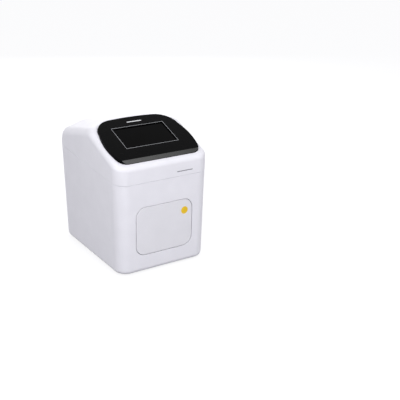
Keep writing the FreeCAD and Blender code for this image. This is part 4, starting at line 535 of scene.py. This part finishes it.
def cross_screw(name, head_radius, head_height, shank_radius, length):
    """A pan-head screw with a cross recess, its head's top at the origin and its shank down -Z."""
    screw = new_disc(name, head_radius, head_height, (0, 0, -head_height / 2))
    pick(screw, faces=lambda middle, normal: normal.z < -FACING)
    bpy.ops.mesh.inset(thickness=head_radius - shank_radius, depth=0.0)
    bpy.ops.mesh.extrude_region_move(TRANSFORM_OT_translate={"value": (0, 0, head_height - length)})
    done()
    pick(screw, edges=lambda start, end: start.z > -TOP_SLACK and end.z > -TOP_SLACK)
    bpy.ops.mesh.bevel(offset=head_height * HEAD_ROUND, segments=5, profile=0.5, affect="EDGES")
    done()
    reach, slot = head_radius * RECESS_REACH, head_radius * RECESS_SLOT
    for number, (across, along) in enumerate(((reach, slot), (slot, reach))):
        cutter = new_box(f"recess_{number}", (-across, -along, -head_height * RECESS_DEPTH),
                         (across, along, head_height))
        pick(cutter, faces=lambda middle, normal: normal.z < -FACING)
        bpy.ops.transform.resize(value=(RECESS_TAPER, RECESS_TAPER, 1.0))
        done()
        select_only(screw)
        modify(screw, "recess", "BOOLEAN", operation="DIFFERENCE", solver="EXACT", object=cutter)
        bpy.data.objects.remove(cutter, do_unlink=True)
    select_only(screw)
    bpy.ops.object.shade_smooth_by_angle(angle=SCREW_SHARP)
    return screw


def screw_set(name, node, outward, body):
    """Modelled screws in place of every plain one of a node; outward is the way the heads face."""
    outward = Vector(outward)
    turn = Vector((0, 0, 1)).rotation_difference(outward)
    axis = max(range(3), key=lambda i: abs(outward[i]))
    copies = []
    for number, (low, high) in enumerate(islands(node)):
        size = high - low
        wide = max(size[i] for i in range(3) if i != axis) / 2
        top = (low + high) / 2
        top[axis] = high[axis] if outward[axis] > 0 else low[axis]
        screw = cross_screw(f"{name}_{number}", wide, min(wide * HEAD_BY_RADIUS, size[axis] * HEAD_BY_LENGTH),
                            wide * SHANK, size[axis])
        screw.matrix_world = (Matrix.Translation(top) @ turn.to_matrix().to_4x4()
                              @ Matrix.Rotation(math.radians(FIRST_TURN + NEXT_TURN * number), 4, "Z"))
        copies.append(settle(screw))
    select_only(*copies)
    bpy.ops.object.join()
    joined = bpy.context.object
    joined.name = name
    return fit(joined, body, slot_of(node), node)


def patch(name, size, middle, project, target, finish, body, corner=0.0, disc=False):
    """A thin print or sticker laid on a surface: projected along an axis, then given its thickness."""
    thickness = MARK_FILM * MM
    select_only()
    turn = (math.pi / 2, 0, 0) if project == "Y" else (0, 0, 0)
    if disc:
        bpy.ops.mesh.primitive_circle_add(vertices=64, radius=size[0] / 2, fill_type="NGON", location=middle,
                                          rotation=turn)
    else:
        bpy.ops.mesh.primitive_plane_add(size=1.0, location=middle, rotation=turn)
    obj = bpy.context.object
    obj.name = name
    if not disc:
        obj.scale = (size[0], size[1], 1.0)
    settle(obj)
    if corner:
        bpy.ops.object.mode_set(mode="EDIT")
        bpy.ops.mesh.select_all(action="SELECT")
        bpy.ops.mesh.bevel(offset=corner, segments=6, affect="VERTICES")
        done()
    modify(obj, "lay_on", "SHRINKWRAP", wrap_method="PROJECT", target=target, use_project_x=False,
           use_project_y=project == "Y", use_project_z=project == "Z", use_positive_direction=True,
           use_negative_direction=True, offset=-thickness * MARK_SUNK)
    modify(obj, "film", "SOLIDIFY", thickness=thickness, offset=0.0)
    modify(obj, "edge", "BEVEL", width=thickness * MARK_EDGE, segments=2, limit_method="ANGLE",
           angle_limit=MARK_SHARP)
    return fit(obj, body, finish)


# ---------------------------------------------------------------- what a user may change

class CyclerColours(PropertyGroup):
    """Colours of the pieces that show from outside"""
    casing: FloatVectorProperty(name="Casing", description="Colour of the moulded housing", subtype="COLOR",
                                size=3, min=0.0, max=1.0, default=linear("E8E7EF")[:3])
    door: FloatVectorProperty(name="Drawer front", description="Colour of the drawer's front",
                              subtype="COLOR", size=3, min=0.0, max=1.0, default=linear("E3E2E9")[:3])
    bezel: FloatVectorProperty(name="Display bezel", description="Colour of the bezel round the display",
                               subtype="COLOR", size=3, min=0.0, max=1.0, default=linear("080809")[:3])


class CyclerSizes(PropertyGroup):
    """Edge roundings, the seam, the window's line and the plain marks"""
    shell_edge: FloatProperty(name="Shell edge",
                              description="Rounding of the casings' edges, at the seam too",
                              default=0.0007, min=0.0001, max=0.002, subtype="DISTANCE", unit="LENGTH")
    bezel_edge: FloatProperty(name="Bezel edge", description="Rounding of the bezel's edges", default=0.0006,
                              min=0.0001, max=0.002, subtype="DISTANCE", unit="LENGTH")
    door_edge: FloatProperty(name="Drawer front edge", description="Rounding of the drawer front's outline",
                             default=0.001, min=0.0002, max=0.0015, subtype="DISTANCE", unit="LENGTH")
    seam_gap: FloatProperty(name="Seam gap", description="Height of the shut line between the casings",
                            default=0.0005, min=0.0, max=0.001, subtype="DISTANCE", unit="LENGTH")
    window_width: FloatProperty(name="Window width", description="Width of the display's window",
                                default=0.153, min=0.1, max=0.17, subtype="DISTANCE", unit="LENGTH")
    window_height: FloatProperty(name="Window height", description="Height of the display's window",
                                 default=0.088, min=0.05, max=0.1, subtype="DISTANCE", unit="LENGTH")
    # The line round the window is a painted highlight for the light on the window's edge.
    line_width: FloatProperty(name="Window line", description="Width of the line printed round the window",
                              default=0.001, min=0.0003, max=0.003, subtype="DISTANCE", unit="LENGTH")
    dot_width: FloatProperty(name="Dot", description="Diameter of the plain dot on the drawer's front",
                             default=0.021, min=0.005, max=0.04, subtype="DISTANCE", unit="LENGTH")
    bar_width: FloatProperty(name="Front bar", description="Length of the plain bar on the housing's front",
                             default=0.0475, min=0.01, max=0.1, subtype="DISTANCE", unit="LENGTH")


class CyclerStudio(PropertyGroup):
    """The studio's lamps and floor"""
    key_power: FloatProperty(name="Key lamp", description="Power of the large lamp in front", default=21.64,
                             min=0.0, max=500.0, subtype="POWER", unit="POWER")
    fill_power: FloatProperty(name="Fill lamp", description="Power of the lamp at the left", default=13.55,
                              min=0.0, max=500.0, subtype="POWER", unit="POWER")
    top_power: FloatProperty(name="Top lamp", description="Power of the lamp overhead", default=2.0, min=0.0,
                             max=500.0, subtype="POWER", unit="POWER")
    rear_power: FloatProperty(name="Rear lamp", description="Power of the lamp behind", default=20.0,
                              min=0.0, max=500.0, subtype="POWER", unit="POWER")
    sky: FloatProperty(name="Room light", description="Strength of the room's even light", default=0.68,
                       min=0.0, max=2.0, subtype="FACTOR")


# ---------------------------------------------------------------- operators

class CYCLER_OT_finishes(Operator):
    """Mixes every finish and gives each CAD node the one that its slot names"""
    bl_idname = "cycler.finishes"
    bl_label = "Finishes"

    def execute(self, context):
        make_finishes(context.scene.cycler_colours)
        for part in frame["record"]["subparts"]:
            obj = frame["nodes"][part["node"]]
            if not obj.material_slots:
                raise RuntimeError(f"{part['node']} has no material slot")
            for slot in obj.material_slots:
                slot.material = FINISHES[part["material_slot"]]
        return {"FINISHED"}


class CYCLER_OT_housing(Operator):
    """Dresses the moulded tub and cover of the housing"""
    bl_idname = "cycler.housing"
    bl_label = "Housing"

    def execute(self, context):
        sizes = context.scene.cycler_sizes
        edge = sizes.shell_edge / MM
        dress("housing_tub", "lower_casing", edge)
        open_seam(dress("housing_cover", "upper_casing", edge), sizes.shell_edge, sizes.seam_gap)
        return {"FINISHED"}


class CYCLER_OT_display(Operator):
    """Dresses the display: bezel, cover glass and panel"""
    bl_idname = "cycler.display"
    bl_label = "Display"

    def execute(self, context):
        sizes = context.scene.cycler_sizes
        bezel = dress("bezel_moulding", "display_bezel", sizes.bezel_edge / MM, 3)
        repaint(bezel, "bezel_cut", lambda middle, normal: normal.y < CUT_FORWARD and normal.z > CUT_UPWARD)
        dress("cover_pane", "touch_glass", 0.25, shape=thin_pane)
        dress("lcd_panel", "lcd_module", 0.3)
        # The pale line round the window, a painted highlight for the light on the window's edge, lies on the
        # bezel's face.
        low, high = (Vector(corner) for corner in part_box("touch_glass"))
        select_only()
        bpy.ops.mesh.primitive_plane_add(size=1.0, location=(low + high) / 2 + DISPLAY_OUTWARD * LINE_LIFT,
                                         rotation=(DISPLAY_TILT, 0, 0))
        line = bpy.context.object
        line.name = "window_line"
        border = 2 * (sizes.bezel_edge + sizes.line_width)
        line.scale = (sizes.window_width + border, sizes.window_height + border, 1.0)
        settle(line)
        pick(line, faces=lambda middle, normal: True)
        bpy.ops.mesh.inset(thickness=sizes.line_width, depth=0.0)
        bpy.ops.mesh.delete(type="FACE")
        done()
        modify(line, "film", "SOLIDIFY", thickness=LINE_FILM, offset=0.0)
        fit(line, "casing", "window_edge_highlight")
        return {"FINISHED"}


class CYCLER_OT_drawer_front(Operator):
    """Dresses the drawer's front"""
    bl_idname = "cycler.drawer_front"
    bl_label = "Drawer front"

    def execute(self, context):
        sizes = context.scene.cycler_sizes
        dress("drawer_face", "drawer_front", sizes.door_edge / MM, 3)
        return {"FINISHED"}


class CYCLER_OT_marks(Operator):
    """Lays the plain bars and the plain dot where prints and stickers go"""
    bl_idname = "cycler.marks"
    bl_label = "Plain marks"

    def execute(self, context):
        sizes = context.scene.cycler_sizes
        objects = bpy.data.objects
        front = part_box("drawer_front")[0][1]
        patch("front_bar", (sizes.bar_width, FRONT_BAR_HEIGHT),
              (FRONT_BAR_X, front - MARK_START, FRONT_BAR_Z), "Y", objects["housing_cover"],
              "print_grey", "casing", FRONT_BAR_CORNER)
        patch("drawer_dot", (sizes.dot_width,), (DOT_X, front - MARK_START, DOT_Z), "Y",
              objects["drawer_face"], "vinyl_yellow", "drawer", disc=True)
        patch("bezel_bar", BEZEL_BAR, BEZEL_BAR_PLACE, "Z", objects["bezel_moulding"], "print_pale",
              "casing", BEZEL_BAR_CORNER)
        return {"FINISHED"}


class CYCLER_OT_chassis(Operator):
    """Dresses the sheet-metal chassis and the base"""
    bl_idname = "cycler.chassis"
    bl_label = "Chassis"

    def execute(self, context):
        for node in ("base_plate", "chassis_left", "chassis_right", "chassis_rear", "chassis_deck",
                     "display_bracket", "drawer_bracket", "drawer_tray"):
            dress(f"{node}_sheet", node, 0.25)
        return {"FINISHED"}


class CYCLER_OT_screws(Operator):
    """Models the pan-head screws of the rear panel and the feet"""
    bl_idname = "cycler.screws"
    bl_label = "Screws"

    def execute(self, context):
        screw_set("rear_cross_screws", "rear_screws", (0, 1, 0), "casing")
        screw_set("foot_cross_screws", "foot_screws", (0, 0, -1), "casing")
        return {"FINISHED"}


class CYCLER_OT_feet(Operator):
    """Dresses the rubber feet"""
    bl_idname = "cycler.feet"
    bl_label = "Feet"

    def execute(self, context):
        dress("moulded_feet", "rubber_feet", 0.5, 3)
        return {"FINISHED"}


class CYCLER_OT_block(Operator):
    """Dresses the sample block, its surround, the cooler and the heat sink"""
    bl_idname = "cycler.block"
    bl_label = "Sample block and cooler"

    def execute(self, context):
        dress("well_block", "sample_block", 0.22)
        dress("block_frame", "block_surround", 0.5, 3)
        dress("block_gasket", "block_seal", 0.4)
        dress("cooler_modules", "peltier_modules", 0.2)
        dress("finned_sink", "heat_sink", 0.15)
        return {"FINISHED"}


class CYCLER_OT_drive(Operator):
    """Dresses the drawer's rails, belt, pulleys and motor"""
    bl_idname = "cycler.drive"
    bl_label = "Drawer drive"

    def execute(self, context):
        dress("rail_pair", "guide_rails", 0.4)
        dress("runner_pair", "drawer_runners", 0.3)
        dress("stepper_body", "drive_motor", 0.8, 3)
        dress("belt_grip", "belt_clamp", 0.3)
        dress("belt_wheel_rear", "drive_pulley", 0.2)
        dress("belt_wheel_front", "idler_pulley", 0.2)
        return {"FINISHED"}


class CYCLER_OT_lid(Operator):
    """Dresses the heated lid and its lift"""
    bl_idname = "cycler.lid"
    bl_label = "Heated lid"

    def execute(self, context):
        dress("lid_press_plate", "lid_plate", 0.3)
        dress("lid_frame", "lid_carrier", 0.4)
        dress("lid_lift_motor", "lid_motor", 0.6, 3)
        dress("lift_nut", "lid_nut", 0.25)
        return {"FINISHED"}


class CYCLER_OT_optics(Operator):
    """Dresses the optics' hood, housing and lens"""
    bl_idname = "cycler.optics"
    bl_label = "Optics"

    def execute(self, context):
        dress("hood_moulding", "optics_hood", 0.4)
        dress("optics_box", "optics_housing", 0.5)
        dress("lens_barrel", "camera_lens", 0.3)
        return {"FINISHED"}


class CYCLER_OT_rear(Operator):
    """Dresses the rear panel, the mains fittings, the fan and the ports"""
    bl_idname = "cycler.rear"
    bl_label = "Rear"

    def execute(self, context):
        dress("rear_cover_panel", "rear_panel", 0.3)
        inlet = dress("mains_socket", "iec_inlet", 0.4)
        low, high = (Vector(corner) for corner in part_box("iec_inlet"))
        middle = (low + high) / 2
        repaint(inlet, "contact_tin", lambda at, normal: abs(at.x - middle.x) < CONTACTS_WIDE
                and abs(at.z - middle.z) < CONTACTS_HIGH
                and at.y < high.y - CONTACTS_FRONT and at.y > low.y + CONTACTS_BACK)
        dress("switch_frame", "switch_housing", 0.4)
        dress("switch_rocker", "power_rocker", 0.5, 3)
        dress("fan_duct", "fan_frame", 0.4)
        dress("fan_wheel", "fan_rotor", 0.25)
        dress("serial_ports", "usb_ports", 0.2)
        dress("network_port", "ethernet_port", 0.2)
        return {"FINISHED"}


class CYCLER_OT_boards(Operator):
    """Dresses the circuit boards, with black packages on their masks"""
    bl_idname = "cycler.boards"
    bl_label = "Circuit boards"

    def execute(self, context):
        for node, axis in (("main_board", 2), ("driver_board", 0), ("display_board", 2), ("camera_board", 2)):
            obj = dress(f"{node}_assembly", node, 0.0)
            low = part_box(node)[0]
            card = low[axis] + CARD_TOP
            repaint(obj, "chip_epoxy", lambda at, normal: at[axis] > card)
        dress("supply_case", "power_supply", 0.4)
        return {"FINISHED"}


class CYCLER_OT_stage(Operator):
    """Sets the floor, the lamps, the room light and the camera"""
    bl_idname = "cycler.stage"
    bl_label = "Stage"

    def execute(self, context):
        studio = context.scene.cycler_studio
        select_only()
        bpy.ops.mesh.primitive_plane_add(size=FLOOR_SIZE, location=(0, 0, CAD_BOX[0][2]))
        floor = bpy.context.object
        floor.name = "studio_floor"
        settle(floor)
        material = bpy.data.materials.new("pale_studio_floor")
        tree = empty_tree(material)
        matt = add(tree, "ShaderNodeBsdfDiffuse", {"Color": linear("87878B")}).outputs["BSDF"]
        lift = add(tree, "ShaderNodeMath", {"operation": "MULTIPLY", 1: FLOOR_GLOW},
                   {0: seen_directly(tree)}).outputs[0]
        glow = add(tree, "ShaderNodeEmission", (), {"Strength": lift}).outputs["Emission"]
        both = add(tree, "ShaderNodeAddShader", (), {0: matt, 1: glow}).outputs["Shader"]
        add(tree, "ShaderNodeOutputMaterial", (), {"Surface": both})
        floor.data.materials.append(material)

        world = bpy.data.worlds.new("white_studio")
        context.scene.world = world
        tree = empty_tree(world)
        strength = add(tree, "ShaderNodeMapRange", {"To Min": studio.sky, "To Max": 1.0},
                       {"Value": seen_directly(tree)})
        sky = add(tree, "ShaderNodeBackground", {"Color": (1.0, 1.0, 1.0, 1.0)},
                  {"Strength": strength.outputs["Result"]}).outputs["Background"]
        add(tree, "ShaderNodeOutputWorld", (), {"Surface": sky})

        for name, power, size, place, aim in LAMPS:
            lamp = bpy.data.lights.new(name, "AREA")
            lamp.energy, lamp.size = getattr(studio, power), size
            holder = bpy.data.objects.new(name, lamp)
            holder.location = place
            holder.rotation_euler = (Vector(aim) - Vector(place)).to_track_quat("-Z", "Y").to_euler()
            context.scene.collection.objects.link(holder)

        camera = bpy.data.cameras.new("studio_camera")
        camera.lens, camera.sensor_width = CAMERA_LENS, CAMERA_SENSOR
        holder = bpy.data.objects.new("studio_camera", camera)
        aim = Matrix.Identity(4)
        for degrees, axis in CAMERA_TURNS:
            aim = aim @ Matrix.Rotation(math.radians(degrees), 4, axis)
        holder.matrix_world = Matrix.Translation(CAMERA_PLACE) @ aim
        context.scene.collection.objects.link(holder)
        context.scene.camera = holder
        context.scene.view_settings.view_transform = "Standard"
        return {"FINISHED"}


GROUPS = (CyclerColours, CyclerSizes, CyclerStudio)
STEPS = (CYCLER_OT_finishes, CYCLER_OT_housing, CYCLER_OT_display, CYCLER_OT_drawer_front, CYCLER_OT_marks,
         CYCLER_OT_chassis, CYCLER_OT_screws, CYCLER_OT_feet, CYCLER_OT_block, CYCLER_OT_drive, CYCLER_OT_lid,
         CYCLER_OT_optics, CYCLER_OT_rear, CYCLER_OT_boards, CYCLER_OT_stage)


class CYCLER_PT_panel(Panel):
    """The sizes, the colours and the steps of the model"""
    bl_idname = "CYCLER_PT_panel"
    bl_label = "Thermal cycler"
    bl_space_type = "VIEW_3D"
    bl_region_type = "UI"
    bl_category = "Cycler"

    def draw(self, context):
        scene = context.scene
        for settings in (scene.cycler_colours, scene.cycler_sizes, scene.cycler_studio):
            box = self.layout.box()
            for name in settings.__annotations__:
                box.prop(settings, name)
        for step in STEPS:
            self.layout.operator(step.bl_idname)


def register():
    for cls in (*GROUPS, *STEPS, CYCLER_PT_panel):
        bpy.utils.register_class(cls)
    bpy.types.Scene.cycler_colours = PointerProperty(type=CyclerColours)
    bpy.types.Scene.cycler_sizes = PointerProperty(type=CyclerSizes)
    bpy.types.Scene.cycler_studio = PointerProperty(type=CyclerStudio)


def unregister():
    del bpy.types.Scene.cycler_studio
    del bpy.types.Scene.cycler_sizes
    del bpy.types.Scene.cycler_colours
    for cls in reversed((*GROUPS, *STEPS, CYCLER_PT_panel)):
        bpy.utils.unregister_class(cls)


def main():
    """Registers the add-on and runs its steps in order."""
    register()
    for step in STEPS:
        getattr(bpy.ops.cycler, step.bl_idname.split(".")[1])()


if __name__ == "__main__":
    main()
